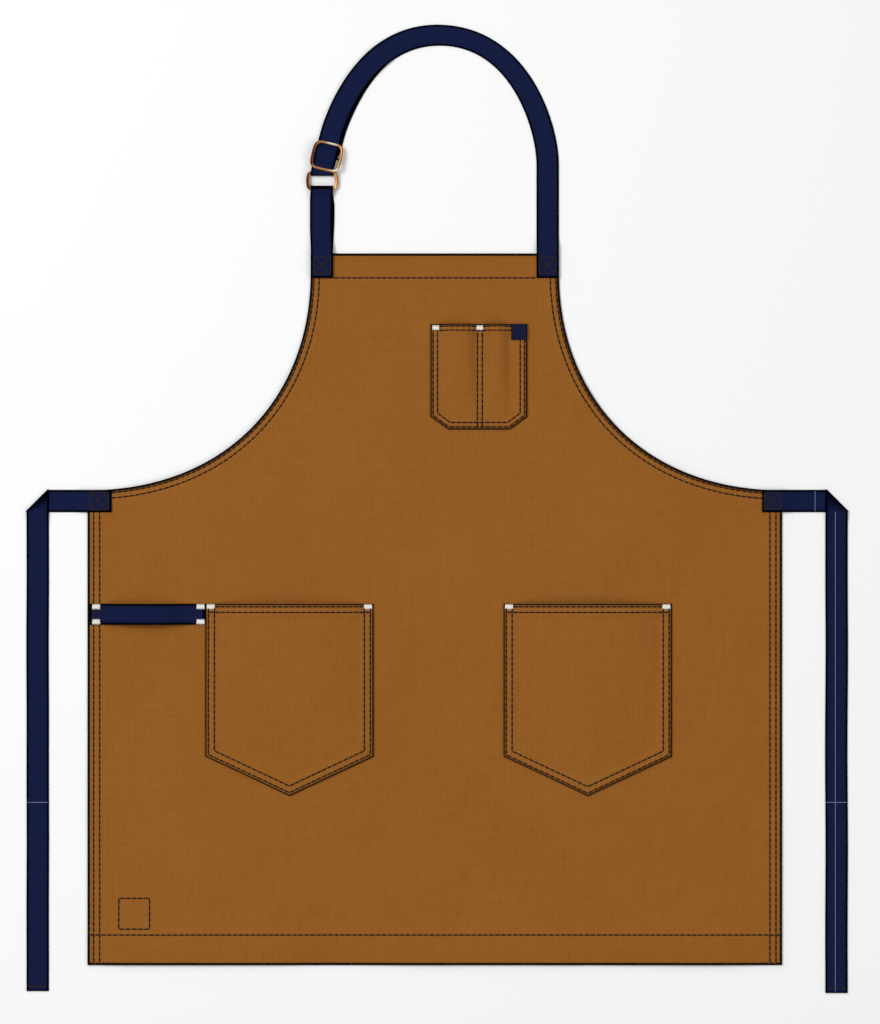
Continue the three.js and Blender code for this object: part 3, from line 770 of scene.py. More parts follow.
    def sew(
        self, name: str, rows: list[Array], stitch: Stitch, thread: Material, seed: int,
    ) -> Object:
        """Sew rows of stitches as one piece.

        Args:
            name: The piece's name.
            rows: Plan points of each row.
            stitch: The kind of stitch.
            thread: The thread's material.
            seed: Picks the uneven lengths.

        Returns:
            The piece, as a plain mesh.
        """
        mesh = bpy.data.meshes.new(name)
        edges, start = [], 0
        for row in rows:
            edges += [(start + index, start + index + 1) for index in range(len(row) - 1)]
            start += len(row)
        mesh.from_pydata(PLAN.to_frame(np.concatenate(rows)).tolist(), edges, [])
        piece = link_object(name, mesh)
        modifier = piece.modifiers.new("rows", "NODES")
        modifier.node_group = self.tree
        values = {
            "Pitch": stitch.pitch * MM, "Cover": stitch.cover, "Width": stitch.width * MM,
            "Height": stitch.height * MM, "Seed": seed, "Thread": thread,
        }
        for key, value in values.items():
            modifier[self.inputs[key]] = value
        evaluated = piece.evaluated_get(bpy.context.evaluated_depsgraph_get())
        sewn = bpy.data.meshes.new_from_object(evaluated)
        piece.modifiers.remove(modifier)
        piece.data = sewn
        bpy.data.meshes.remove(mesh)
        sewn.name = name
        shade_smooth(sewn)
        return piece


@dataclass(frozen=True)
class Lie:
    """How the canvas lies on the table: broad low ripples that die out at its sewn-on webbing."""

    height: float = 2.4
    crease: float = 0.55  # height of the small wrinkles
    ripples: tuple = (  # share of the height, wavelengths across and up, phase
        (1.0, 262, 431, 1.1), (0.8, -507, 236, 4.0), (0.55, 151, -613, 2.3),
    )
    creases: int = 9
    seed: int = 17
    waist: float = 502.5
    half_width: float = 367.5
    quiet: float = 70.0  # run in which the ripples fade
    flat_above: float = 190.0  # height above the waist from which the bib lies flat
    flat_run: float = 140.0
    skirt: float = 250.0  # height below which the side edges ripple too
    skirt_run: float = 120.0
    skirt_spread: float = 30.0  # how far past the sides those ripples would reach
    crease_lengths: tuple = (42, 95)
    patch_lengths: tuple = (45, 90)
    still: tuple = ((-246.0, 371.0), (89.3, 670.0))  # ends of the towel loop and the label
    still_radius: float = 18.0

    def __call__(self, x: Array, y: Array) -> Array:
        """Height of the cloth's underside at plan points.

        Args:
            x: Plan places across.
            y: Plan places up.

        Returns:
            The heights.
        """
        x = np.asarray(x, dtype=float)
        y = np.asarray(y, dtype=float)
        waves = sum(
            part * np.sin(2 * math.pi * (x / across + y / up) + phase)
            for part, across, up, phase in self.ripples)
        share = np.clip(0.5 + waves / 4.0, 0.0, 1.0)
        top = smooth((self.waist + self.flat_above - y) / self.flat_run)
        room = self.half_width - np.abs(x)
        in_skirt = smooth((self.skirt - y) / self.skirt_run)
        sides = np.maximum(
            smooth(room / self.quiet), in_skirt * smooth((room + self.skirt_spread) / self.quiet))
        for at_x, at_y in self.still:
            sides = sides * smooth((np.hypot(x - at_x, y - at_y) - self.still_radius) / self.quiet)
        return np.maximum(self.height * share + self._creases(x, y), 0.0) * top * sides

    def _creases(self, x: Array, y: Array) -> Array:
        """Height of the small wrinkles, which come and go in patches.

        Args:
            x: Plan places across.
            y: Plan places up.

        Returns:
            The heights.
        """
        rng = np.random.default_rng(self.seed)
        total = np.zeros_like(x)
        for _ in range(self.creases):
            turn = rng.uniform(0, math.pi)
            length = rng.uniform(*self.crease_lengths)
            phase = rng.uniform(0, 2 * math.pi)
            run = x * math.cos(turn) + y * math.sin(turn)
            side = y * math.cos(turn) - x * math.sin(turn)
            patch = 0.5 + 0.5 * np.sin(side / rng.uniform(*self.patch_lengths) + run / 160 + phase)
            total += patch * np.sin(2 * math.pi * run / length + 0.9 * np.sin(side / 70 + phase) + phase)
        return self.crease * (0.5 + total / 6)


LIE = Lie()


def roll(distance: Array, radius: float) -> Array:
    """Drop of a rounded edge at a distance from it."""
    inside = np.clip(1 - distance / radius, 0.0, 1.0)
    return radius * (1 - np.sqrt(1 - inside**2))


def groove(distance: Array, row: float, depth: float = 0.16, width: float = 0.8) -> Array:
    """Depth to which a stitch row pulls the cloth down."""
    return depth * np.exp(-(((distance - row) / width) ** 2))


def segment_distance(points: Array, start: Array, end: Array) -> Array:
    """Distance of plan points to a straight segment.

    Args:
        points: The points.
        start: The segment's start.
        end: Its end.

    Returns:
        The distances.
    """
    line = end - start
    share = np.clip(((points - start) @ line) / (line @ line), 0.0, 1.0)
    return np.linalg.norm(points - (start + share[:, None] * line), axis=1)


def inset(path: Array, distance: float) -> Array:
    """Move an open path to its left by a distance, with mitred corners.

    Args:
        path: Corner points.
        distance: How far to move.

    Returns:
        The moved corner points.
    """
    steps = unit(np.diff(path, axis=0))
    normals = np.stack([-steps[:, 1], steps[:, 0]], axis=1)
    moved = [path[0] + normals[0] * distance]
    for before, after, corner in zip(normals[:-1], normals[1:], path[1:-1]):
        mitre = before + after
        moved.append(corner + mitre * distance / (mitre @ before))
    moved.append(path[-1] + normals[-1] * distance)
    return np.array(moved)


@dataclass(frozen=True)
class Hem:
    """A turned edge of the panel."""

    band: float  # width that is turned under
    rows: tuple  # distances of its stitch rows from the edge
    seed: int  # picks its puckers


@dataclass
class Panel:
    """The apron's body, cut in one piece with its hems turned under."""

    width: float = 735.0
    waist: float = 502.5
    bib_height: float = 250.5
    bib_width: float = 263.0
    bib_straight: float = 22.0
    armhole_drop: float = 0.56
    armhole_reach: float = 0.63
    ply: float = 1.0
    hem: float = 2.2
    settle: float = 11.0  # run in which a hem comes down to the single ply
    front_round: float = 0.9
    back_round: float = 0.7
    back_lift: float = 0.12  # clearance under a hem's back
    thinnest: float = 0.3
    pucker: float = 0.2  # how far the seams make the cloth rise and fall
    rim: tuple = (2.3, 3.1)  # distances from an edge between which its line of painted edge shade ends
    hems: dict[str, Hem] = field(default_factory=lambda: {
        "side": Hem(band=15.0, rows=(6.6, 13.0), seed=11),
        "armhole": Hem(band=11.5, rows=(3.7, 9.3), seed=23),
        "top": Hem(band=27.0, rows=(25.9,), seed=31),
        "lower": Hem(band=34.0, rows=(32.0,), seed=47),
    })
    along: float = 3.0  # spacing of the mesh along its seams
    edge_lines: tuple = (0.35, 0.9, 2.4, 3.0)  # distances of mesh lines that round an edge
    slope_lines: tuple = (0, 0.55, 3, 7)  # and, past a hem's band, of those on its way down
    field_pitch: float = 7.0
    under_strap: float = 24.5  # how far the top row's ends lie under the neck straps
    square_size: float = 32.6
    square_left: float = -334.3
    square_low: float = 38.2

    def __post_init__(self) -> None:
        """Work out the armhole once."""
        self.top = self.waist + self.bib_height
        self.half = self.width / 2
        self.half_bib = self.bib_width / 2
        self.armhole = self._armhole()
        self.armhole_length = travel(self.armhole)

    def _armhole(self) -> Array:
        """Points of the right armhole from the top of the bib to the waist corner."""
        reach = self.half - self.half_bib
        fall = self.bib_height - self.bib_straight
        start_y = self.top - self.bib_straight
        curve = bezier([
            (self.half_bib, start_y), (self.half_bib, start_y - self.armhole_drop * fall),
            (self.half - self.armhole_reach * reach, self.waist), (self.half, self.waist)], 160)
        straight = across_up(self.half_bib, np.linspace(self.top, start_y, 9)[:-1])
        return np.concatenate([straight, curve])

    def armhole_row(self, distance: float, pitch: float) -> Array:
        """Points at a distance inside the right armhole, evenly spaced along it.

        Args:
            distance: How far inside the edge.
            pitch: Spacing of the points.

        Returns:
            The points.
        """
        at = spaced(0, self.armhole_length[-1], pitch)
        points = across_up(*(np.interp(at, self.armhole_length, places) for places in self.armhole.T))
        tangent = unit(np.gradient(points, axis=0))
        inward = np.stack([tangent[:, 1], -tangent[:, 0]], axis=1)
        return points + inward * distance

    def edges(self, x: Array, y: Array) -> dict[str, Array]:
        """Distance of plan points to each kind of edge, and the place along the armhole.

        Args:
            x: Plan places across.
            y: Plan places up.

        Returns:
            The distances by the hem's name, and the place as along.
        """
        far = 1e6  # stands for a place that isn't near the edge
        points = across_up(np.abs(x), y)
        near = np.full(len(points), far)
        along = np.zeros(len(points))
        close = (y > self.waist - 60) & (np.abs(x) > self.half_bib - 60)
        picked = points[close]
        if len(picked):
            gaps = np.linalg.norm(picked[:, None, :] - self.armhole[None, ::2, :], axis=2)
            index = gaps.argmin(axis=1) * 2
            best = gaps.min(axis=1)
            start = self.armhole[index]
            for step in (-2, 2):
                line = self.armhole[np.clip(index + step, 0, len(self.armhole) - 1)] - start
                length = np.maximum((line**2).sum(axis=1), 1e-9)
                share = np.clip(((picked - start) * line).sum(axis=1) / length, 0, 1)
                best = np.minimum(best, np.linalg.norm(picked - (start + share[:, None] * line), axis=1))
            near[close] = best
            along[close] = self.armhole_length[index]
        side = np.where(y < self.waist + 4, self.half - np.abs(x), far)
        return {"side": side, "armhole": near, "top": self.top - y, "lower": y, "along": along}

    def surface(self, x: Array, y: Array) -> tuple[Array, Array, Array]:
        """Front and back of the cloth and its edge mark.

        Args:
            x: Plan places across.
            y: Plan places up.

        Returns:
            Height of the front, height of the back, and the rim mark.
        """
        x = np.asarray(x, dtype=float)
        y = np.asarray(y, dtype=float)
        edges = self.edges(x, y)
        along = {"side": y, "armhole": edges["along"], "top": x, "lower": x}
        raised = np.zeros_like(x)
        in_hem = np.zeros(len(x), dtype=bool)
        pull = np.zeros_like(x)
        for name, hem in self.hems.items():
            distance = edges[name]
            raised = np.maximum(raised, 1 - smooth((distance - hem.band) / self.settle))
            in_hem |= distance < hem.band + 0.1
            beat = 0.75 + 0.25 * np.cos(2 * math.pi * along[name] / SEAM.pitch)
            for row in hem.rows:
                pull = np.maximum(pull, groove(distance, row) * beat)
            fade = np.exp(-((distance - hem.band / 2) / hem.band) ** 2)
            pull = pull - self.pucker * wander(along[name] + 400 * np.sign(x), 16, hem.seed) * fade
        nearest = np.maximum(np.min([edges[name] for name in self.hems], axis=0), 0)
        lie = LIE(x, y)
        front = lie + self.ply + (self.hem - self.ply) * raised - pull - roll(nearest, self.front_round)
        hem_back = lie + self.back_lift + roll(nearest, self.back_round)
        back = np.where(in_hem, hem_back, front + pull - self.ply)
        # painted edge shade: 1 at the edge, fading out between the two rim distances
        rim = 1 - smooth((nearest - self.rim[0]) / (self.rim[1] - self.rim[0]))
        return front, np.minimum(back, front - self.thinnest), rim

    def outline(self) -> Array:
        """Boundary points, right half then left half."""
        side = across_up(self.half, spaced(0, self.waist, self.along)[:-1])
        right = np.concatenate([side, self.armhole_row(0, self.along)[::-1]])
        top = spaced(self.half_bib, -self.half_bib, self.along)[1:-1]
        low = spaced(-self.half, self.half, self.along)[1:-1]
        return np.concatenate([right, across_up(top, self.top), right[::-1] * (-1, 1), across_up(low, 0.0)])

    def _runs(self, name: str, distances: list[float], pitch: float, ends: float) -> list[Array]:
        """Lines of points that follow a straight or curved edge of the panel.

        Args:
            name: The hem's name.
            distances: How far inside the edge each line lies.
            pitch: Spacing of the points.
            ends: How far the lines along the top and the foot stop short of the sides.

        Returns:
            The lines, both sides' where the edge has two.
        """
        runs = []
        for distance in distances:
            if name == "side":
                y = spaced(0.4, self.waist - 0.5, pitch)
                runs += [across_up(sign * (self.half - distance), y) for sign in (-1, 1)]
            elif name == "armhole":
                row = self.armhole_row(distance, pitch)
                runs += [row, row * (-1, 1)]
            else:
                half, y = (self.half_bib, self.top - distance) if name == "top" else (self.half, distance)
                runs.append(across_up(spaced(ends - half, half - ends, pitch), y))
        return runs

    def _inner_points(self) -> Array:
        """Points along the seams and across the field."""
        groups = []
        for name, hem in self.hems.items():
            levels = {*self.edge_lines, *(hem.band + past for past in self.slope_lines)}
            levels |= {row + side for row in hem.rows for side in (-0.85, 0, 0.85)}
            groups += self._runs(name, sorted(levels), self.along, 0.4)
        grid_x, grid_y = np.meshgrid(
            np.arange(-self.half, self.half, self.field_pitch), np.arange(0, self.top, self.field_pitch))
        grid_x = grid_x + (np.arange(grid_x.shape[0]) % 2)[:, None] * self.field_pitch / 2
        groups.append(self._clear(across_up(grid_x.ravel(), grid_y.ravel()), self.field_pitch * 0.6, True))
        points = self._clear(np.concatenate(groups), 0.3, False)
        cells = np.round(points / 0.5).astype(int)
        return points[np.unique(cells, axis=0, return_index=True)[1]]

    def _clear(self, points: Array, margin: float, of_bands: bool) -> Array:
        """Keep the points inside the outline by a margin, and past the seam bands if asked.

        Args:
            points: Plan points.
            margin: How far inside.
            of_bands: Whether past the bands too.

        Returns:
            The points kept.
        """
        edges = self.edges(points[:, 0], points[:, 1])
        inside = points[:, 1] <= self.waist
        beside = np.abs(points[:, 0]) < np.interp(points[:, 1], self.armhole[::-1, 1], self.armhole[::-1, 0])
        keep = inside | beside
        for name, hem in self.hems.items():
            keep &= edges[name] > margin + (hem.band + self.slope_lines[-1] if of_bands else 0)
        return points[keep]

    def build(self, material: Material) -> Object:
        """Make the panel's closed mesh.

        Args:
            material: The canvas.

        Returns:
            The piece.
        """
        outline = self.outline()
        flat = [Vector(point) for point in (*outline, *self._inner_points())]
        result = delaunay_2d_cdt(flat, [], [list(range(len(outline)))], 1, 1e-5)
        plane = np.array([tuple(point) for point in result[0]])
        faces = [tuple(face) for face in result[2]]
        return add_cloth("front_panel_canvas", plane, self.surface(*plane.T), faces, material)

    def seam_rows(self, lift: float) -> list[Array]:
        """Every stitch row of the panel's front, a little above the cloth.

        Args:
            lift: Height of a thread's middle above the cloth.

        Returns:
            Points of each row.
        """
        pitch = 3.0
        flat = []
        for distance in self.hems["side"].rows:
            y = spaced(2.5, self.waist - distance, pitch)
            flat += [across_up(sign * (self.half - distance), y) for sign in (-1, 1)]
        for distance in self.hems["armhole"].rows:
            row = self.armhole_row(distance, pitch)
            row = row[(row[:, 1] < self.top - 1) & (row[:, 0] < self.half - distance)]
            flat += [row, row * (-1, 1)]
        flat += self._runs("top", self.hems["top"].rows, pitch, self.under_strap)
        flat += self._runs("lower", self.hems["lower"].rows, pitch, 1.5)
        flat += self.square()
        return [np.column_stack([row, self.surface(*row.T)[0] + lift]) for row in flat]

    def square(self) -> list[Array]:
        """Four rows that hold a patch on the back of the lower corner."""
        steps = np.array([(0, 0), (1, 0), (1, 1), (0, 1), (0, 0)])
        corners = self.square_size * steps + (self.square_left, self.square_low)
        return [np.linspace(start, end, 8) for start, end in zip(corners[:-1], corners[1:])]

    def back_rows(self, drop: float) -> list[Array]:
        """The same rows as they show on the back.

        Args:
            drop: How far a thread's middle lies under the back.

        Returns:
            Points of each row.
        """
        rows = []
        for row in self.seam_rows(0.0):
            back = self.surface(*row[:, :2].T)[1]
            rows.append(np.column_stack([row[:, :2], np.maximum(back - drop, 0.05)]))
        return rows


@dataclass
class Opening:
    """A raised stretch of a pocket between two seams."""

    start: float
    end: float
    height: float


@dataclass
class PatchPocket:
    """A canvas pocket sewn on at its sides and foot and open at the top."""

    EDGE_LINES: ClassVar[tuple] = (0.0, 0.3, 0.8, 1.7)  # distances of mesh lines that round an edge

    name: str
    foot: Array  # corner points of the lower edge from left to right
    top: float
    openings: list[Opening]
    band: float
    rows: tuple
    mouth_rows: tuple
    mouth_band: float = 13.0
    seams: tuple = ()  # upright rows that divide the pocket
    ply: float = 1.0
    hem: float = 2.0
    seat: float = 1.16  # height of its underside where it is sewn down
    step: float = 1.6  # half the run in which a hem comes down to the single ply
    pucker: float = 0.16  # how far the seams make the cloth rise and fall
    seed: int = 3

    @property
    def left(self) -> float:
        """Left edge."""
        return float(self.foot[0, 0])

    @property
    def right(self) -> float:
        """Right edge."""
        return float(self.foot[-1, 0])

    def corners(self) -> Array:
        """Sewn edge from the mouth's left corner round the foot to its right corner."""
        return np.concatenate([[(self.left, self.top)], self.foot, [(self.right, self.top)]])

    def sewn_distance(self, x: Array, y: Array) -> Array:
        """Distance of plan points to the sewn edge."""
        points, path = across_up(x, y), self.corners()
        return np.min([
            segment_distance(points, start, end) for start, end in zip(path[:-1], path[1:])], axis=0)

    def raised(self, x: Array, y: Array) -> Array:
        """How far the cloth stands off the panel.

        Args:
            x: Plan places across.
            y: Plan places up.

        Returns:
            The heights.
        """
        foot = np.interp(x, *self.foot.T) + self.band
        up = np.clip((y - foot) / (self.top - foot), 0, 1)
        total = np.zeros_like(x)
        for number, slot in enumerate(self.openings):
            across = np.clip((x - slot.start) / (slot.end - slot.start), 0, 1)
            body = np.sin(math.pi * across) ** 0.7 * np.sin(math.pi / 2 * up) ** 0.8
            creases = 0.045 * wander((across - 0.5) * (1.4 - up) * 60 + 9 * up, 17, self.seed + number)
            total += slot.height * body * (1 + creases)
        return total

    def surface(self, x: Array, y: Array) -> tuple[Array, Array, Array]:
        """Front and back of the pocket's cloth and its edge mark.

        Args:
            x: Plan places across.
            y: Plan places up.

        Returns:
            Height of the front, height of the back, and the rim mark.
        """
        x = np.atleast_1d(np.asarray(x, dtype=float))
        y = np.atleast_1d(np.asarray(y, dtype=float))
        sewn = self.sewn_distance(x, y)
        mouth = self.top - y
        past = np.minimum(sewn - self.band, mouth - self.mouth_band)
        thickness = between(self.hem, self.ply, smooth(past / (2 * self.step)))
        grooves = [groove(sewn, row) for row in self.rows]
        grooves += [groove(mouth, row, depth=0.25) for row in self.mouth_rows]
        grooves += [groove(x, seam) for seam in self.seams]
        fade = np.exp(-((sewn - self.band / 2) / self.band) ** 2)
        pull = np.max(grooves, axis=0) - self.pucker * wander(x * 0.8 + y, 15, self.seed) * fade
        back = LIE(x, y) + self.seat + self.raised(x, y)
        nearest = np.minimum(sewn, mouth)
        front = back + thickness - pull - roll(nearest, 0.8)
        # painted edge shade along the sewn edges and the mouth
        rim = 1 - smooth((nearest - 1.0) / 1.3)
        return front, back, rim

    def _lines(self, low: float, high: float, marks: list[float], pitch: float) -> Array:
        """Grid lines from low to high: the marked ones and even ones in between."""
        even = [value for value in spaced(low, high, pitch) if min(abs(value - mark) for mark in marks) > 1.2]
        return np.unique(np.round([*marks, *even], 4))

    def build(self, material: Material) -> Object:
        """Make the pocket's closed mesh.

        Args:
            material: The canvas.

        Returns:
            The piece.
        """
        def beside(rows: tuple) -> list[float]:
            """Lines on and beside each stitch row."""
            return [row + side for row in rows for side in (-0.8, 0, 0.8)]

        near = [*self.EDGE_LINES, *beside(self.rows), self.band, self.band + 1.6, self.band + 3.2]
        marks = [self.left + value for value in near] + [self.right - value for value in near]
        marks += beside(self.seams)
        marks += list(self.foot[1:-1, 0])
        marks += [edge for slot in self.openings for edge in (slot.start, slot.end)]
        xs = self._lines(self.left, self.right, marks, 3.2)
        mouth = [*self.EDGE_LINES, *beside(self.mouth_rows), self.mouth_band, self.mouth_band + 2]
        body = np.linspace(0, 1, 44)[1:-1]
        feet = np.interp(xs, *self.foot.T)
        slope = 1.1  # a step up from a slanted foot is this much longer than its distance
        low = feet + near[-1] * slope
        high = self.top - mouth[-1]
        levels = [feet + value * slope for value in near]
        levels += [low + (high - low) * share for share in body]
        levels += [np.full(len(xs), self.top - value) for value in reversed(mouth)]
        plane = across_up(np.tile(xs, len(levels)), np.concatenate(levels))
        faces = grid_faces(len(xs), len(levels))
        return add_cloth(f"{self.name}_canvas", plane, self.surface(*plane.T), faces, material)

    def seam_rows(self, lift: float) -> list[Array]:
        """Every stitch row of the pocket, a little above the cloth.

        Args:
            lift: Height of a thread's middle above the cloth.

        Returns:
            Points of each row.
        """
        start_y = self.top - self.mouth_rows[0]
        flat = []
        for distance in self.rows:
            path = inset(self.corners(), distance)
            path[0, 1] = path[-1, 1] = start_y
            flat += list(zip(path[:-1], path[1:]))
        ends = (self.left + self.rows[0], self.right - self.rows[0])
        for distance in self.mouth_rows:
            flat.append([(x, self.top - distance) for x in ends])
        for seam in self.seams:
            flat.append([(seam, start_y), (seam, np.interp(seam, *self.foot.T) + 1.5)])
        rows = []
        for start, end in flat:
            row = np.linspace(start, end, max(4, int(math.dist(start, end) / 2.5)))
            rows.append(np.column_stack([row, self.surface(*row.T)[0] + lift]))
        return rows


@dataclass
class Station:
    """One place along webbing: its middle, half its width as a vector, and its face if known."""

    at: Array
    across: Array
    face: Array | None = None

    def mirrored(self) -> "Station":
        """The same place on the other side of the apron, with the same face up."""
        mirror = np.array([-1.0, 1.0, 1.0])
        face = None if self.face is None else self.face * mirror
        return Station(self.at * mirror, -self.across * mirror, face)


@dataclass(frozen=True)
class Webbing:
    """Flat woven strap with rounded selvedges."""

    width: float = 23.7
    thickness: float = 1.3
    gap: float = 0.3
    dark_line: float = 1.5  # width of the line of painted shade along an edge
    selvedge: float = 1.3  # run in which that line ends

    @property
    def pitch(self) -> float:
        """Height from one ply to the next."""
        return self.thickness + self.gap

    def section(self) -> list[tuple[float, float]]:
        """Outline of the strap's section as shares of half its width and half its thickness."""
        left = [
            (-1.0, 0.0), (-0.985, 0.62), (-0.955, 0.92), (-0.9, 0.96), (-0.84, 0.92), (-0.78, 0.9),
            (-0.4, 0.88),
        ]
        upper = [*left, (0.0, 0.9), *((-across, up) for across, up in reversed(left))]
        return upper + [(across, -up) for across, up in reversed(upper[1:-1])]

    def build(
        self, name: str, stations: list[Station], material: Material, width: float | None = None,
    ) -> Object:
        """Make a strap along stations as a closed mesh.

        Args:
            name: The piece's name.
            stations: Places along the strap.
            material: The strap's finish.
            width: Its width where it isn't the usual one.

        Returns:
            The piece.
        """
        section = self.section()
        middles = np.array([station.at for station in stations])
        along = travel(middles)
        half = (width or self.width) / 2
        points, uvs, rims = [], [], []
        last = len(stations) - 1
        for number, station in enumerate(stations):
            tangent = middles[min(number + 1, last)] - middles[max(number - 1, 0)]
            face = station.face if station.face is not None else np.cross(station.across, tangent)
            face = face / np.linalg.norm(face) * self.thickness / 2
            # painted shade: the rim mark is dark where the strap turns on its side round a fold, and along
            # its selvedges and ends
            end = min(along[number], along[-1] - along[number])
            turned = 0.0 if station.face is None else 1 - smooth((station.face[2] - 0.35) / 0.4)
            for across, up in section:
                points.append(station.at + station.across * across + face * up)
                uvs.append((along[number] * MM, across * half * MM))
                side = (1 - abs(across)) * half
                rims.append(max(turned, 1 - smooth((min(side, end) - self.dark_line) / self.selvedge)))
        faces = capped_tube(len(section), len(stations))
        return add_piece(name, np.array(points), faces, material, np.array(rims), uvs=np.array(uvs))

    @staticmethod
    def length(stations: list[Station]) -> float:
        """Length of the strap along its middle."""
        return float(travel(np.array([station.at for station in stations]))[-1])


class Route:
    """A line on the plan with its length measured."""

    def __init__(self, points: Array) -> None:
        """Measure the line through close points."""
        self.points = points
        self.along = travel(points)
        self.tangents = unit(np.gradient(points, self.along, axis=0))
        self.length = float(self.along[-1])

    def point(self, along: float) -> Array:
        """Point at a distance along the line."""
        return np.array([np.interp(along, self.along, places) for places in self.points.T])

    def tangent(self, along: float) -> Array:
        """Direction at a distance along the line."""
        found = np.array([np.interp(along, self.along, shares) for shares in self.tangents.T])
        return found / np.linalg.norm(found)


@dataclass
class NeckStraps:
    """Both neck straps with the ring and the slider that join them."""

    panel: Panel
    webbing: Webbing
    inset: float = 0.2
    lap: float = 26.0
    box_drop: float = 12.6  # how far the middle of a sewn end lies below the bib's top
    box_shift: float = 0.6  # how far the left one's lies off the strap's middle
    upright: float = 93.6
    rise: float = 137.4
    crown_offset: float = 3.6
    shoulder: float = 0.75
    slope: float = 0.615
    foot: float = 0.29
    hook: float = 0.47
    lean: float = 0.16
    ring_rise: float = 68.3
    short_shift: float = 1.4
    tail: float = 142.0
    tail_shift: float = 2.4
    tail_shift_from: float = 12.0
    tail_shift_peak: float = 55.0
    crown_narrow: float = 0.07  # share of its width that the strap loses as it cups over the crown
    crown_from: float = 130.0
    crown_to: float = 400.0
    ramp: float = 15.0
    ring_height: float = 20.6
    ring_wire: float = 3.6
    ring_shift: float = 0.4
    slider_length: float = 31.7
    slider_wire: float = 3.2
    slider_shift: float = 1.9
    strap_shift: float = 0.6  # how far the strap is pushed aside inside the slider
    front_shift: float = -0.8  # how far the short strap's front ply lies off its middle
    bar: float = 2.4
    slider_gap: float = 0.4

    def __post_init__(self) -> None:
        """Work out the places that the straps and the hardware share."""
        web = self.webbing
        self.x = self.panel.half_bib - self.inset - web.width / 2
        self.floor = web.thickness / 2
        self.on_hem = self.panel.hem + web.gap + web.thickness / 2
        self.ring_z = web.pitch + self.ring_wire / 2
        self.wrap = self.ring_wire / 2 + web.gap + web.thickness / 2
        self.low_bar_y = self.panel.top + self.ring_rise
        self.high_bar_y = self.low_bar_y + self.ring_height - self.ring_wire
        self.span = (self.slider_length - self.slider_wire) / 2
        self.near_bar = self.slider_wire + self.slider_gap
        self.mid_bar = self.near_bar + self.span
        self.far_bar = self.mid_bar + self.span
        self.over_ring = self.ring_z + self.wrap
        clear = self.slider_wire / 2 + web.gap + web.thickness / 2
        self.near_z = self.over_ring + clear - web.gap
        self.far_z = self.floor + web.pitch + clear
        self.mid_z = self.far_z - web.gap
        self.over_bar = self.mid_z + self.bar / 2 + web.gap + web.thickness / 2
        self.route = self._route()

    def _route(self) -> Route:
        """Line of the long strap from the ring's upper bar over the neck to the bib."""
        arch_y = self.panel.top + self.upright
        crown = arch_y + self.rise
        height = crown - self.high_bar_y
        left = bezier([
            (-self.x, self.high_bar_y),
            (-self.x + self.lean * self.hook * height, self.high_bar_y + self.hook * height),
            (self.crown_offset - self.slope * self.x, crown), (self.crown_offset, crown)])
        right = bezier([
            (self.crown_offset, crown),
            (self.crown_offset + self.shoulder * (self.x - self.crown_offset), crown),
            (self.x, arch_y + self.foot * self.rise), (self.x, arch_y)])
        straight = across_up(self.x, np.linspace(arch_y, self.panel.top - self.lap, 60))
        return Route(np.concatenate([left, right[1:], straight[1:]]))

    def rear(self, along: float) -> float:
        """Height of the rear ply's middle: over the slider's bar and down to the table."""
        up = smooth((along - self.ring_wire) / (self.mid_bar - self.bar - self.ring_wire))
        down = smooth((along - self.mid_bar - self.bar / 2) / (self.span - self.bar))
        return float(self.floor + (self.over_bar - self.floor) * up * (1 - down))

    def front(self, along: float) -> float:
        """Height of the front ply's middle, from the ring to the bib.

        Args:
            along: Distance from the ring along the strap.

        Returns:
            The height.
        """
        web = self.webbing
        step = 0.15
        slope = (self.rear(along + step) - self.rear(along - step)) / (2 * step)
        stacked = self.rear(along) + web.pitch * math.hypot(1, slope)
        settle = smooth((along - self.near_bar) / (self.mid_bar - self.near_bar))
        held = self.over_ring - web.gap * smooth(along / self.near_bar)
        past = 0.0 if along > self.mid_bar else between(held, held * 0.9, settle)
        soft = 0.5
        top = (stacked + past + math.sqrt((stacked - past) ** 2 + soft**2)) / 2
        if along > self.mid_bar:
            top = stacked
        tail_end = smooth((along - self.tail - web.gap) / self.ramp)
        rest = between(top, self.floor, tail_end)
        to_hem = (self.route.length - self.lap - along) / self.ramp
        return float(rest + (self.on_hem - self.floor) * smooth(1 - to_hem + web.gap))

    def _across(self, along: float) -> Array:
        """Half the long strap's width; at the ring it lies along the ring's bar.

        Args:
            along: Distance from the ring along the strap.

        Returns:
            It as a vector.
        """
        tangent = self.route.tangent(along)
        square = np.array([tangent[1], -tangent[0], 0.0])
        mixed = between(np.array([1.0, 0.0, 0.0]), square, smooth(along / (2 * self.near_bar)))
        crown = between(self.crown_from, self.crown_to, 0.4)
        cupped = smooth((along - self.crown_from) / (crown - self.crown_from))
        cupped *= smooth((self.crown_to - along) / (self.crown_to - crown))
        return mixed / np.linalg.norm(mixed) * self.webbing.width / 2 * (1 - self.crown_narrow * cupped)

    def _tail_shift(self, along: float) -> float:
        """How far the tail shows on the inner side of the arch."""
        fall = max(0.0, along - self.tail_shift_peak) / (self.tail - self.tail_shift_peak)
        return float(self.tail_shift * smooth((along - self.tail_shift_from) / self.ramp) * (1 - fall**2))

    def _long_station(self, along: float, height: float, shift: float) -> Station:
        """Place on the long strap, moved sideways by a shift.

        Args:
            along: Distance from the ring along the strap.
            height: Height of its middle.
            shift: How far it moves.

        Returns:
            The place.
        """
        across = self._across(along)
        at = np.array([*self.route.point(along), height])
        pushed = float(smooth(along / self.mid_bar) * smooth((self.far_bar + 20 - along) / 20))
        return Station(at + across * (shift + self.strap_shift * pushed) / (self.webbing.width / 2), across)

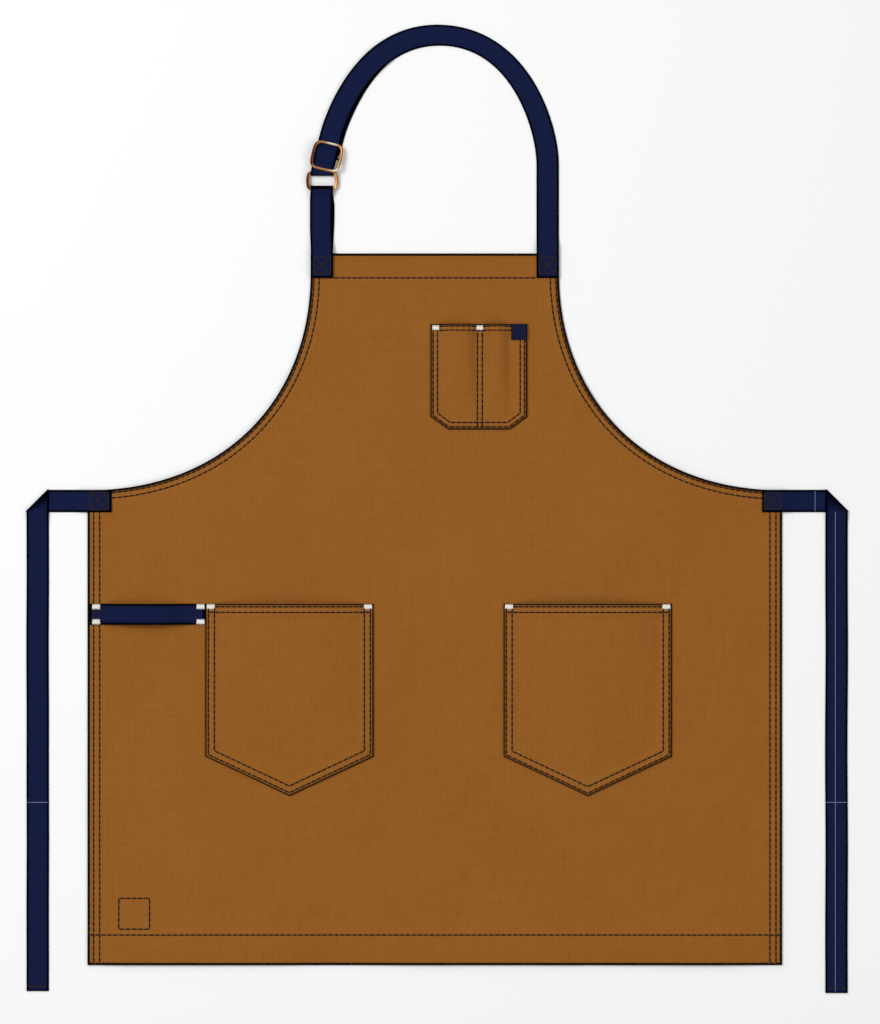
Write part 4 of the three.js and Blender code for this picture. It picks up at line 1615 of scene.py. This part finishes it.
    def _wrap(self, bar_y: float, turn: Turn) -> list[Station]:
        """Half turn of webbing round one of the ring's bars, from under it to over it.

        Args:
            bar_y: The bar's place up.
            turn: Side on which the webbing folds.

        Returns:
            The places.
        """
        across = np.array([self.webbing.width / 2, 0.0, 0.0])
        stations = []
        for angle in np.linspace(0, math.pi, 19):
            out = np.array([0.0, turn.value * math.sin(angle), -math.cos(angle)])
            face = out if turn is Turn.DOWN else -out
            stations.append(Station(np.array([-self.x, bar_y, self.ring_z]) + out * self.wrap, across, face))
        return stations

    def long_stations(self) -> list[Station]:
        """The long strap from its free tail through the hardware to the bib."""
        hardware = self.far_bar + self.slider_wire
        tail = [*spaced(self.tail, hardware, 2.0)[:-1], *spaced(hardware, 0, 0.8)[:-1]]
        stations = [self._long_station(a, self.rear(a), self._tail_shift(a)) for a in tail]
        stations += self._wrap(self.high_bar_y, Turn.DOWN)
        on_ramp = self.route.length - self.lap - self.ramp
        front = [
            *spaced(0, hardware, 0.8)[1:-1], *spaced(hardware, on_ramp, 2.0)[:-1],
            *spaced(on_ramp, self.route.length, 1.2)]
        return stations + [self._long_station(a, self.front(a), 0.0) for a in front]

    def short_stations(self) -> list[Station]:
        """The short strap from the bib up its rear ply, round the ring and back down."""
        web = self.webbing
        across = np.array([web.width / 2, 0.0, 0.0])
        lap_y = self.panel.top - self.lap
        ramp_end = self.panel.top + self.ramp
        run = 0.75 * self.ramp

        def level(y: float) -> float:
            """Height of the rear ply's middle, which steps up onto the panel's hem."""
            return float(between(self.floor, self.on_hem, smooth((ramp_end - y) / (self.ramp - 2 * web.gap))))

        stations = []
        for y in spaced(lap_y, self.low_bar_y, 1.5)[:-1]:
            shift = self.short_shift * float(
                smooth((self.low_bar_y - self.ring_wire - y) / self.ramp) * smooth((y - self.panel.top) / 40))
            stations.append(Station(np.array([-self.x + shift, y, level(y)]), across))
        stations += self._wrap(self.low_bar_y, Turn.UP)
        for y in spaced(self.low_bar_y, lap_y, 1.2)[1:]:
            slope = (level(y + web.gap) - level(y - web.gap)) / (2 * web.gap)
            held = between(self.over_ring, self.floor + web.pitch, smooth((self.low_bar_y - y) / run))
            height = max(float(held), level(y) + web.pitch * math.hypot(1, slope))
            aside = smooth((self.low_bar_y - y) / 12) * smooth((y - self.panel.top) / 30)
            at = np.array([self.front_shift * float(aside) - self.x, y, height])
            stations.append(Station(at, across))
        return stations

    def bib_ends(self) -> list[tuple[Array, float]]:
        """Middle of each sewn end on the bib and the height of its upper face."""
        y = self.panel.top - self.box_drop
        top = self.webbing.thickness / 2 * 0.9
        return [
            (np.array([-self.x + self.box_shift, y]), self.on_hem + self.webbing.pitch + top),
            (np.array([self.x, y]), self.on_hem + top),
        ]


@dataclass
class WireLoop:
    """A closed loop of round wire bent into a rounded rectangle.

    Painted shade darkens the plating on the outer left and underneath, and painted highlights brighten it at
    the given places.
    """

    width: float
    height: float
    wire: float
    corner: float
    bow: float  # how far the upright sides belly out
    rise: float = 0.0  # how far the level sides belly out
    painted_highlights: tuple = ()  # places of painted highlights, as shares of half the width and half the height
    highlight_strength: float = 0.42  # how much brighter the painted highlights make the plating
    highlight_reach: float = 0.42  # how far that reaches, as a share of half the width
    plain: float = 0.34  # darkness of the plating elsewhere
    flank: float = 0.62  # how much painted shade darkens it on the outer left
    under: float = 0.12  # how much painted shade darkens it underneath
    sides: int = 20

    def path(self) -> tuple[Array, Array]:
        """Middle of the wire and the outward direction at each place of the loop."""
        half = np.array([(self.width - self.wire) / 2, (self.height - self.wire) / 2])
        bend = self.corner - self.wire / 2
        corner = half - (self.bow, self.rise) - bend
        turns = [corner * sign for sign in ((1, 1), (-1, 1), (-1, -1), (1, -1))]
        shares = np.linspace(0, 1, 11)
        middles = []
        for quarter, middle in enumerate(turns):
            angles = (quarter + shares) * math.pi / 2
            arc = bend * across_up(np.cos(angles), np.sin(angles))
            after = turns[(quarter + 1) % 4]
            straight = between(middle, after, shares[1:-1, None]) + arc[-1]
            middles += [middle + arc, straight]
        path = np.concatenate(middles)
        belly = np.cos(math.pi / 2 * np.minimum(1, np.abs(path[:, ::-1]) / half[::-1]))
        path = path + np.sign(path) * (self.bow, self.rise) * belly
        tangents = unit(np.roll(path, -1, axis=0) - np.roll(path, 1, axis=0))
        return path, np.stack([tangents[:, 1], -tangents[:, 0]], axis=1)

    def tone_and_painted_light(self, middle: Array, up: float, left: float) -> float:
        """Darkness of the plating at a place of the loop, from 0 to 1, with its painted shade and painted
        highlights.

        Args:
            middle: Middle of the wire.
            up: How far above it, as a share of the radius.
            left: How far to its left, the same way.

        Returns:
            The darkness.
        """
        at = middle * 2 / (self.width, self.height)
        # painted shade on the outer left and underneath, painted highlights at the given spots on the upper
        # side
        flank = smooth((-at[0] - 0.6) / 0.3) * smooth((left + 0.45) / 0.7)
        dark = self.plain + self.flank * float(flank) + self.under * float(1 - smooth((up + 0.5) / 0.9))
        for spot in self.painted_highlights:
            near = math.exp(-((math.dist(at, spot) / self.highlight_reach) ** 2))
            dark -= self.highlight_strength * near * float(smooth((up + 0.2) / 1.0))
        return min(max(dark, 0.0), 1.0)

    def mesh(self) -> tuple[Array, list, Array]:
        """Points, faces and plating darkness of the loop, with its painted shade and highlights, flat round
        the origin.
        """
        middles, outs = self.path()
        points, shade = [], []
        for middle, out in zip(middles, outs):
            for index in range(self.sides):
                angle = -2 * math.pi * index / self.sides
                side, up = math.cos(angle), math.sin(angle)
                points.append((*(middle + out * side * self.wire / 2), up * self.wire / 2))
                shade.append(self.tone_and_painted_light(middle, up, -out[0] * side))
        faces = grid_faces(self.sides, len(middles), round_columns=True, round_rows=True)
        return np.array(points), faces, np.array(shade)


def wire_bar(path: Array, radius: float, sides: int = 16) -> tuple[Array, list]:
    """A round bar along a bent path in the x-z plane, closed at its ends.

    Args:
        path: Middle of the bar.
        radius: Its radius.
        sides: Points round it.

    Returns:
        Points and faces.
    """
    points = []
    back = np.array((0.0, 1.0, 0.0))
    for middle, tangent in zip(path, unit(np.gradient(path, axis=0))):
        up = np.cross(tangent, back)
        for index in range(sides):
            angle = 2 * math.pi * index / sides
            points.append(middle + radius * (math.cos(angle) * back + math.sin(angle) * up))
    # The points run the other way round than a tube's, so each face does too
    faces = [(face[0], *reversed(face[1:])) for face in capped_tube(sides, len(path))]
    return np.array(points), faces


def turn_points(points: Array, axes: tuple[int, int], angle: float) -> Array:
    """Turn points about the origin.

    Args:
        points: The points.
        axes: The two axes of the plane in which they turn.
        angle: How far, from the first axis towards the second.

    Returns:
        The turned points.
    """
    first, second = axes
    turned = points.copy()
    turned[:, first] = points[:, first] * math.cos(angle) - points[:, second] * math.sin(angle)
    turned[:, second] = points[:, first] * math.sin(angle) + points[:, second] * math.cos(angle)
    return turned


@dataclass
class Hardware:
    """The copper ring and slider on the neck straps."""

    straps: NeckStraps
    ring_width: float = 34.0
    ring_corner: float = 4.6
    slider_width: float = 33.0
    slider_corner: float = 7.0
    bow: float = 1.2

    def ring(self, material: Material) -> Object:
        """Make the ring where its node is.

        Args:
            material: The copper.

        Returns:
            The piece.
        """
        straps = self.straps
        # painted highlights at the ring's two right corners
        loop = WireLoop(
            self.ring_width, straps.ring_height, straps.ring_wire, self.ring_corner, self.bow,
            painted_highlights=((0.9, 0.9), (0.9, -0.9)), highlight_strength=0.2)
        points, faces, shade = loop.mesh()
        middle = (straps.ring_shift - straps.x, (straps.low_bar_y + straps.high_bar_y) / 2, straps.ring_z)
        return add_piece("strap_ring_copper", points + middle, faces, material, shade)

    def slider(self, material: Material) -> Object:
        """Make the slider, leaning on the strap as its node does.

        Args:
            material: The copper.

        Returns:
            The piece.
        """
        straps = self.straps
        # painted highlights at the top middle and the lower right
        loop = WireLoop(
            self.slider_width, straps.slider_length, straps.slider_wire, self.slider_corner, self.bow,
            rise=0.5, painted_highlights=((0.15, 1.0), (0.75, -0.95)))
        points, faces, shade = loop.mesh()
        lean = math.atan2(straps.near_z - straps.far_z, 2 * straps.span)
        middle_z = (straps.near_z + straps.far_z) / 2
        drop = (middle_z - straps.mid_z) * math.cos(lean)
        half = (loop.width - loop.wire) / 2
        share = np.linspace(-1, 1, 25)
        dip = smooth((1 - np.abs(share)) / 0.12)
        bar_path = np.stack([share * half, np.zeros_like(share), -drop * dip], axis=1)
        bar_points, bar_faces = wire_bar(bar_path, straps.bar / 2)
        faces += [tuple(corner + len(points) for corner in face) for face in bar_faces]
        # painted shade: the middle bar is fully dark
        shade = np.concatenate([shade, np.ones(len(bar_points))])
        points = turn_points(np.concatenate([points, bar_points]), (1, 2), -lean)
        tangent = straps.route.tangent(straps.mid_bar)
        points = turn_points(points, (0, 1), math.atan2(tangent[1], tangent[0]) - math.pi / 2)
        at = straps.route.point(straps.mid_bar) + straps.slider_shift * np.array([tangent[1], -tangent[0]])
        return add_piece("slider_copper", points + (*at, middle_z), faces, material, shade)


@dataclass
class WaistTie:
    """One waist tie: sewn on at the waist, folded at 45 degrees and hanging down the side."""

    panel: Panel
    webbing: Webbing
    side: int  # -1 left, 1 right
    reach: float
    drop: float
    lap: float  # length sewn onto the panel
    inset: float = -0.4
    ramp: float = 15.0
    sway: float = 0.5

    @property
    def corner_x(self) -> float:
        """Distance of the hanging run's middle from the centre line."""
        return self.panel.half + self.reach

    @property
    def level_y(self) -> float:
        """Middle of the level run."""
        return self.panel.waist - self.inset - self.webbing.width / 2

    def stations(self) -> list[Station]:
        """Places from the sewn end to the free end."""
        web = self.webbing
        half = web.width / 2
        floor = web.thickness / 2
        on_hem = self.panel.hem + web.gap + web.thickness / 2
        inner = self.panel.half - self.lap
        outer = self.panel.half + self.ramp
        fine, coarse = 1.5, 3.0  # spacing of the places on a ramp and elsewhere
        stations = []
        for x in [*spaced(inner, outer, fine)[:-1], *spaced(outer, self.corner_x - half - 1, coarse)]:
            height = between(floor, on_hem, smooth((outer - x) / (self.ramp - 2 * web.gap)))
            stations.append(Station(np.array([x, self.level_y, height]), np.array([0.0, half, 0.0])))
        fold = web.pitch / 2
        for angle in np.linspace(0, math.pi, 13):
            out = np.array([1.0, 1.0, 0.0]) / math.sqrt(2) * math.sin(angle)
            out[2] = -math.cos(angle)
            at = np.array([self.corner_x, self.level_y, floor + fold]) + out * fold
            stations.append(Station(at, np.array([-half, half, 0.0]), -out))
        clear = self.level_y - half - web.gap
        low = clear - self.ramp
        for y in [*spaced(clear, low, fine)[:-1], *spaced(low, -self.drop, coarse)]:
            height = floor + web.pitch * smooth((y - low) / self.ramp)
            away = smooth((low - y) / 120) * smooth((y + self.drop) / 60)
            drift = self.sway * float(wander(np.array([y]), 190, 5 + self.side)[0]) * away
            at = np.array([self.corner_x + drift, y, height])
            stations.append(Station(at, np.array([-half, 0.0, 0.0])))
        return stations if self.side > 0 else [station.mirrored() for station in stations]

    def hang_top(self) -> float:
        """Height of the hanging run's face above the table."""
        return self.webbing.thickness * 0.95


@dataclass
class TowelLoop:
    """Webbing loop between the side hem and the left pocket, bowed to take a towel."""

    panel: Panel
    start: float
    end: float
    top: float
    width: float = 22.2
    seat: float = 13.0
    bulge: float = 9.0
    webbing: Webbing = Webbing()

    @property
    def middle_y(self) -> float:
        """Middle of the loop's width."""
        return self.top - self.width / 2

    def heights(self) -> tuple[float, float]:
        """Height of the strap's middle at its left and right ends."""
        half = self.webbing.thickness / 2
        return self.panel.hem + self.webbing.gap + half, self.panel.ply + self.webbing.gap + half

    def stations(self) -> list[Station]:
        """Places from the left end to the right end."""
        low, high = self.heights()
        start, end = self.start + self.seat, self.end - self.seat
        across = np.array([0.0, self.width / 2, 0.0])
        pitch = 1.5
        xs = [
            *spaced(self.start, start, pitch)[:-1], *spaced(start, end, pitch),
            *spaced(end, self.end, pitch)[1:]]
        stations = []
        for x in xs:
            share = float(np.clip((x - start) / (end - start), 0, 1))
            height = between(low, high, smooth(share)) + self.bulge * math.sin(math.pi * share) ** 1.4
            stations.append(Station(np.array([x, self.middle_y, float(height)]), across))
        return stations


def crossed_box(middle: Array, width: float, height: float, level: float) -> list[Array]:
    """Rows of a box of stitches with both its diagonals.

    Args:
        middle: Middle of the box on the plan.
        width: Its width.
        height: Its height.
        level: Height of the thread.

    Returns:
        Six rows.
    """
    signs = ((-1, -1), (1, -1), (1, 1), (-1, 1), (-1, -1))
    corners = [np.array([middle[0] + x * width / 2, middle[1] + y * height / 2, level]) for x, y in signs]
    rows = [np.array([start, end]) for start, end in zip(corners[:-1], corners[1:])]
    rows += [np.array([between(a, b, 0.1), between(a, b, 0.9)]) for a, b in (corners[0:3:2], corners[1:4:2])]
    return rows


@dataclass
class BarTack:
    """A block of satin stitch."""

    x: float
    y: float
    level: float
    width: float = 8.4
    height: float = 4.1
    pitch: float = 0.72
    lean: float = 0.14
    crown: float = 0.18  # how much its middle is raised

    def threads(self) -> list[Array]:
        """Upright threads side by side, leaning a little to and fro."""
        rows = []
        reach = self.width / 2 - 0.4
        half = self.height / 2 - 0.1
        for number, x in enumerate(spaced(self.x - reach, self.x + reach, self.pitch)):
            lean = self.lean * (-1) ** number
            level = self.level + self.crown * math.sin(math.pi * (x - self.x + self.width / 2) / self.width)
            rows.append(np.array([[x - lean, self.y - half, level], [x + lean, self.y + half, level]]))
        return rows


@dataclass
class Label:
    """Small bare woven label on the chest pocket's corner."""

    right: float
    top: float
    level: float
    size: float = 16.9
    thickness: float = 0.6
    fold: float = 0.14  # how much the folded edges stand up
    curl: float = 0.25  # how much its free corner lifts

    def build(self, material: Material) -> Object:
        """Make the label's closed mesh with softly folded edges.

        Args:
            material: The label's cloth.

        Returns:
            The piece.
        """
        near = np.array([0.0, 0.15, 0.4, 0.9, 1.6])
        at = np.concatenate([near, spaced(3.0, self.size - 3.0, 1.4), self.size - near[::-1]])
        x, y = (places.ravel() for places in np.meshgrid(at, at))
        edge = np.minimum.reduce([x, y, self.size - x, self.size - y])
        fold = self.fold * np.exp(-(((edge - 1.3) / 0.8) ** 2))
        back = self.level + self.curl * np.clip(1 - np.hypot(x, y) / 4, 0, 1) ** 2
        front = back + self.thickness * 0.85 + fold - roll(edge, 0.4)
        # painted edge shade near the label's edges
        rim = 1 - smooth((edge - 0.3) / 1.1)
        plane = across_up(x + self.right - self.size, y + self.top - self.size)
        return add_cloth("label_tab_weave", plane, (front, back, rim), grid_faces(len(at), len(at)), material)


@dataclass
class Studio:
    """Pale table, soft lights and the camera straight above the apron."""

    picture: tuple = (880, 1024)  # size of the photograph in pixels
    centre_line_px: float = 434.8  # where the photograph shows the panel's centre line
    hem_px: float = 965.0  # and its lower hem
    px: float = 25.4 / 24  # size of one of the photograph's pixels on the apron
    lens: float = 200.0  # long, as the drawing has no perspective
    sensor: float = 36.0
    table_colour: str = "F4F4F3"
    table_half: float = 8000.0
    table_level: float = -0.2

    def build(self) -> None:
        """Add the table, the lights, the world and the camera."""
        self._table()
        self._camera()
        self._light("key", (-2.6, 1.3, 3.9), 2.2, 156.0)
        self._light("fill", (3.0, -1.9, 3.6), 2.8, 65.0)
        self._light("back", (0.6, 3.7, 2.6), 1.9, 17.0)
        world = bpy.data.worlds.new("studio")
        world.use_nodes = True
        sky = world.node_tree.nodes["Background"]
        feed(sky, {"Color": (0.95, 0.97, 1.0, 1.0), "Strength": 0.34})
        scene = bpy.context.scene
        scene.world = world
        scene.view_settings.view_transform = "Standard"
        scene.view_settings.look = "None"

    def _table(self) -> None:
        """A large matt table top just under the cloth."""
        mesh = bpy.data.meshes.new("table")
        half, level = self.table_half * MM, self.table_level * MM
        corners = [(x * half, y * half, level) for x, y in ((-1, -1), (1, -1), (1, 1), (-1, 1))]
        mesh.from_pydata(corners, [], [(0, 1, 2, 3)])
        material, add, shader = new_material("matt_paint_white")
        spot = add("ShaderNodeTexCoord").outputs["Object"]
        grain = add("ShaderNodeTexNoise", {"Vector": spot, "Scale": 260.0, "Detail": 3.0})
        bump = add("ShaderNodeBump", {
            "Height": grain.outputs["Fac"], "Strength": 0.04, "Distance": 0.1 * MM,
        })
        feed(shader, {"Base Color": linear(self.table_colour), "Roughness": 0.9, "Normal": bump})
        mesh.materials.append(material)
        link_object("table", mesh)

    def _camera(self) -> None:
        """Look straight down with the photograph's framing."""
        data = bpy.data.cameras.new("camera")
        data.lens = self.lens
        data.sensor_width = self.sensor
        data.clip_end = 50.0
        camera = link_object("camera", data)
        right, down = (side / 2 for side in self.picture)
        middle = PLAN.to_frame(np.array([
            (right - self.centre_line_px) * self.px, (self.hem_px - down) * self.px, 0.0]))
        distance = self.picture[1] * self.px * MM * self.lens / self.sensor
        camera.location = (middle[0], middle[1], distance)
        bpy.context.scene.camera = camera

    @staticmethod
    def _light(name: str, place_at: tuple, size: float, power: float) -> None:
        """Add a soft square light aimed at the apron.

        Args:
            name: Its name.
            place_at: Its place in metres.
            size: Its side in metres.
            power: Its power in watts.
        """
        data = bpy.data.lights.new(name, "AREA")
        data.size = size
        data.energy = power
        light = link_object(name, data)
        light.location = place_at
        light.rotation_mode = "QUATERNION"
        light.rotation_quaternion = (-Vector(place_at)).to_track_quat("-Z", "Y")


@dataclass
class Apron:
    """The whole apron."""

    pocket_width: float = 178.0
    pocket_side: float = 161.7
    pocket_point: float = 41.8
    left_offset: float = -153.8
    right_offset: float = 161.7
    pocket_drop: float = 120.1
    pocket_band: float = 12.0
    pocket_gape: float = 10.0  # how far a pocket's mouth stands open
    chest_width: float = 102.3
    chest_height: float = 111.7
    chest_offset: float = 46.6
    chest_drop: float = 74.6
    chest_clip: tuple = (18.5, 13.5)
    chest_seam: float = 52.2
    chest_band: float = 9.0
    chest_gape: float = 7.0
    hem_step: float = 1.6
    lift: float = 0.16  # height of a stitch's middle above the cloth
    box: float = 17.4  # side of a crossed box of stitches on the bib
    tie_boxes: tuple = (1.4, -0.2)  # how much wider the left and the right tie's boxes are
    box_flat: float = 0.9  # how much lower than wide a tie's box is
    box_shift: float = 0.4  # how far it lies outside the middle of the tie's lap
    cross_y: float = 172.2  # place up of the tracer yarn across each tie
    cross_x: float = 402.4  # place across of the one on the right tie's level run
    run_shift: float = 1.3  # how far the tracer yarn along the right tie lies inside its middle
    tack_lift: float = 0.25  # height of the satin stitch's middle above what it holds
    tack_inset: float = 5.8  # from a pointed pocket's side to the middle of its tack
    loop_insets: tuple = (7.1, 4.6)  # from the towel loop's ends to its tacks
    loop_margin: float = 3.1  # from the loop's edges to the middle of its tacks
    mouth_tack: tuple = (8.4, 3.2)  # width of a pointed pocket's tack, and its middle's drop
    chest_tack: tuple = (7.1, 4.1)  # the same on the chest pocket
    chest_inset: float = 5.6  # from the chest pocket's left side to the middle of its tack
    label_level: float = 3.58  # height of the label's back

    def __post_init__(self) -> None:
        """Make the parts that others lean on."""
        self.finishes = Finishes()
        self.maker = StitchMaker()
        self.panel = Panel()
        self.webbing = Webbing()
        self.straps = NeckStraps(self.panel, self.webbing)

    def pointed_pocket(self, name: str, middle: float, rows: tuple, seed: int) -> PatchPocket:
        """One of the two pointed pockets.

        Args:
            name: Its node's name.
            middle: Place across of its middle.
            rows: Distances of its stitch rows from the edge.
            seed: Picks its creases.

        Returns:
            The pocket.
        """
        half = self.pocket_width / 2
        top = self.panel.waist - self.pocket_drop
        side = top - self.pocket_side
        foot = np.array([(middle - half, side), (middle, side - self.pocket_point), (middle + half, side)])
        inner = half - self.pocket_band - self.hem_step
        return PatchPocket(
            name, foot, top, [Opening(middle - inner, middle + inner, self.pocket_gape)], self.pocket_band,
            rows=rows, mouth_rows=(3.2, 9.1), seed=seed)

    def chest_pocket(self) -> PatchPocket:
        """The chest pocket with its two slots."""
        left = self.chest_offset - self.chest_width / 2
        right = left + self.chest_width
        top = self.panel.top - self.chest_drop
        low = top - self.chest_height
        clip_x, clip_y = self.chest_clip
        foot = np.array([
            (left, low + clip_y), (left + clip_x, low), (right - clip_x, low), (right, low + clip_y)])
        seam = left + self.chest_seam
        by_label = right - Label.size - self.webbing.gap
        openings = [
            Opening(left + self.chest_band + self.hem_step, seam - self.chest_band / 2, self.chest_gape),
            Opening(seam + self.chest_band / 2, by_label - self.hem_step, self.chest_gape),
        ]
        return PatchPocket(
            "chest_pocket", foot, top, openings, self.chest_band, rows=(2.8, 7.4), mouth_rows=(2.5, 6.8),
            mouth_band=9.0, seams=(seam - 2.6, seam + 2.6), seed=8)

    def dress_pocket(self, pocket: PatchPocket) -> None:
        """Build one pocket with its stitches.

        Args:
            pocket: The pocket.
        """
        piece = place(pocket.build(self.finishes.canvas), Slot.POCKET, pocket.name)
        rows = pocket.seam_rows(self.lift)
        stitches = self.maker.sew(f"{pocket.name}_stitches", rows, SEAM, self.finishes.seam, pocket.seed)
        place(stitches, Slot.POCKET)

    def dress_panel(self) -> None:
        """Build the panel with its stitches front and back."""
        panel = self.panel
        piece = place(panel.build(self.finishes.canvas), Slot.PANEL, "front_panel")
        front = place(self.maker.sew(
            "panel_stitches", panel.seam_rows(self.lift), SEAM, self.finishes.seam, seed=2), Slot.PANEL)
        back = place(self.maker.sew(
            "panel_back_stitches", panel.back_rows(0.02), BACK, self.finishes.seam, seed=4), Slot.PANEL)
        enclosed(panel.outline()) * MM * MM

    def dress_strap(
        self, name: str, stations: list[Station], width: float | None = None,
    ) -> None:
        """Build one strap and stand it for its node.

        Args:
            name: Its node's name.
            stations: Places along it.
            width: Its width where it isn't the usual one.
        """
        piece = place(
            self.webbing.build(f"{name}_webbing", stations, self.finishes.webbing, width), Slot.WEBBING, name)
        Webbing.length(stations) * MM

    def dress_straps(self, loop: TowelLoop) -> None:
        """Build every strap with the stitches that hold it.

        Args:
            loop: The towel loop.
        """
        straps = self.straps
        self.dress_strap("neck_strap_long", straps.long_stations())
        self.dress_strap("neck_strap_short", straps.short_stations())
        left = WaistTie(self.panel, self.webbing, -1, reach=52.7, drop=27.5, lap=25.7)
        right = WaistTie(self.panel, self.webbing, 1, reach=57.6, drop=29.6, lap=21.2)
        self.dress_strap("waist_tie_left", left.stations())
        self.dress_strap("waist_tie_right", right.stations())
        self.dress_strap("towel_loop", loop.stations(), loop.width)
        rows = []
        for middle, level in straps.bib_ends():
            rows += crossed_box(middle, self.box, self.box, level + self.lift)
        tie_level = self.panel.hem + self.webbing.pitch
        for tie, wider in zip((left, right), self.tie_boxes):
            middle = np.array([tie.side * (self.panel.half - tie.lap / 2 + self.box_shift), tie.level_y])
            size = self.box + wider
            rows += crossed_box(middle, size, size - self.box_flat, tie_level + self.lift)
        place(self.maker.sew("crossed_box_stitches", rows, BOX, self.finishes.box, seed=6), Slot.WEBBING)
        ends, tracers = [], []
        half = self.webbing.width / 2
        level = left.hang_top() + 0.05
        for tie in (left, right):
            middle = tie.side * tie.corner_x
            for group, y, short in ((ends, 5.0 - tie.drop, 2), (tracers, self.cross_y, 1)):
                group.append(np.array([[middle + side * (half - short), y, level] for side in (-1, 1)]))
        run_x = right.corner_x - self.run_shift
        fold_y = right.level_y - half
        down = np.append(np.linspace(fold_y + 0.3, fold_y - right.ramp, 12), 2.0 - right.drop)
        over = self.webbing.pitch * smooth((down - fold_y + right.ramp) / right.ramp)
        tracers.append(np.column_stack([np.full(len(down), run_x), down, level + 0.1 + over]))
        tracers.append(np.array([
            [self.cross_x, right.level_y + side * (half - 1), level] for side in (-1, 1)]))
        loop_level = loop.heights()[0] + self.webbing.thickness / 2 * 0.9 + self.lift
        reach = loop.width / 2 - 0.8
        for distance in self.panel.hems["side"].rows:
            x = distance - self.panel.half
            ends.append(np.array([[x, loop.middle_y + side * reach, loop_level] for side in (-1, 1)]))
        place(self.maker.sew("webbing_end_stitches", ends, BOX, self.finishes.box, seed=7), Slot.WEBBING)
        place(self.maker.sew("tie_tracer_yarns", tracers, TRACER, self.finishes.tracer, seed=9), Slot.WEBBING)

    def dress_tacks(self, loop: TowelLoop, pockets: list[PatchPocket], chest: PatchPocket) -> None:
        """Build the bar tacks, one piece for each thing that they hold.

        Args:
            loop: The towel loop.
            pockets: The left and the right pocket.
            chest: The chest pocket.
        """
        reach = loop.width / 2 - self.loop_margin
        low, high = (height + self.webbing.thickness / 2 + self.tack_lift for height in loop.heights())
        ends = ((loop.start + self.loop_insets[0], low), (loop.end - self.loop_insets[1], high))
        groups = {"loop": [
            BarTack(x, loop.middle_y + side * reach, level) for side in (1, -1) for x, level in ends
        ]}
        for name, pocket in zip(("left", "right"), pockets):
            corners = (pocket.left + self.tack_inset, pocket.right - self.tack_inset)
            groups[name] = [self._mouth_tack(pocket, x, *self.mouth_tack) for x in corners]
        seams = (chest.left + self.chest_inset, chest.left + self.chest_seam)
        groups["chest"] = [self._mouth_tack(chest, x, *self.chest_tack) for x in seams]
        for name, tacks in groups.items():
            threads = [thread for tack in tacks for thread in tack.threads()]
            piece = self.maker.sew(f"bartacks_{name}_satin", threads, SATIN, self.finishes.tack, seed=10)
            place(piece, Slot.TACK, *(f"bartack_{name}_{letter}" for letter in "abcd"[:len(tacks)]))

    def _mouth_tack(self, pocket: PatchPocket, x: float, width: float, drop: float) -> BarTack:
        """A bar tack at a pocket's mouth."""
        y = pocket.top - drop
        return BarTack(x, y, float(pocket.surface(x, y)[0][0]) + self.tack_lift, width)

    def build(self) -> None:
        """Build every piece in order."""
        self.dress_panel()
        left = self.pointed_pocket("pocket_left", self.left_offset, (3.4, 9.7), 3)
        right = self.pointed_pocket("pocket_right", self.right_offset, (2.9, 9.1), 5)
        chest = self.chest_pocket()
        for pocket in (left, right, chest):
            self.dress_pocket(pocket)
        loop = TowelLoop(self.panel, start=2.3 - self.panel.half, end=left.left - 0.4, top=left.top)
        self.dress_straps(loop)
        hardware = Hardware(self.straps)
        place(hardware.ring(self.finishes.copper), Slot.COPPER, "strap_ring")
        place(hardware.slider(self.finishes.copper), Slot.COPPER, "slider")
        self.dress_tacks(loop, [left, right], chest)
        label = Label(chest.right, chest.top, self.label_level)
        place(label.build(self.finishes.label), Slot.LABEL, "label_tab")


def main() -> None:
    """Build the studio and the apron."""
    logging.basicConfig(level=logging.INFO, format="%(name)s %(message)s")
    Studio().build()
    Apron().build()


if __name__ == "__main__":
    main()
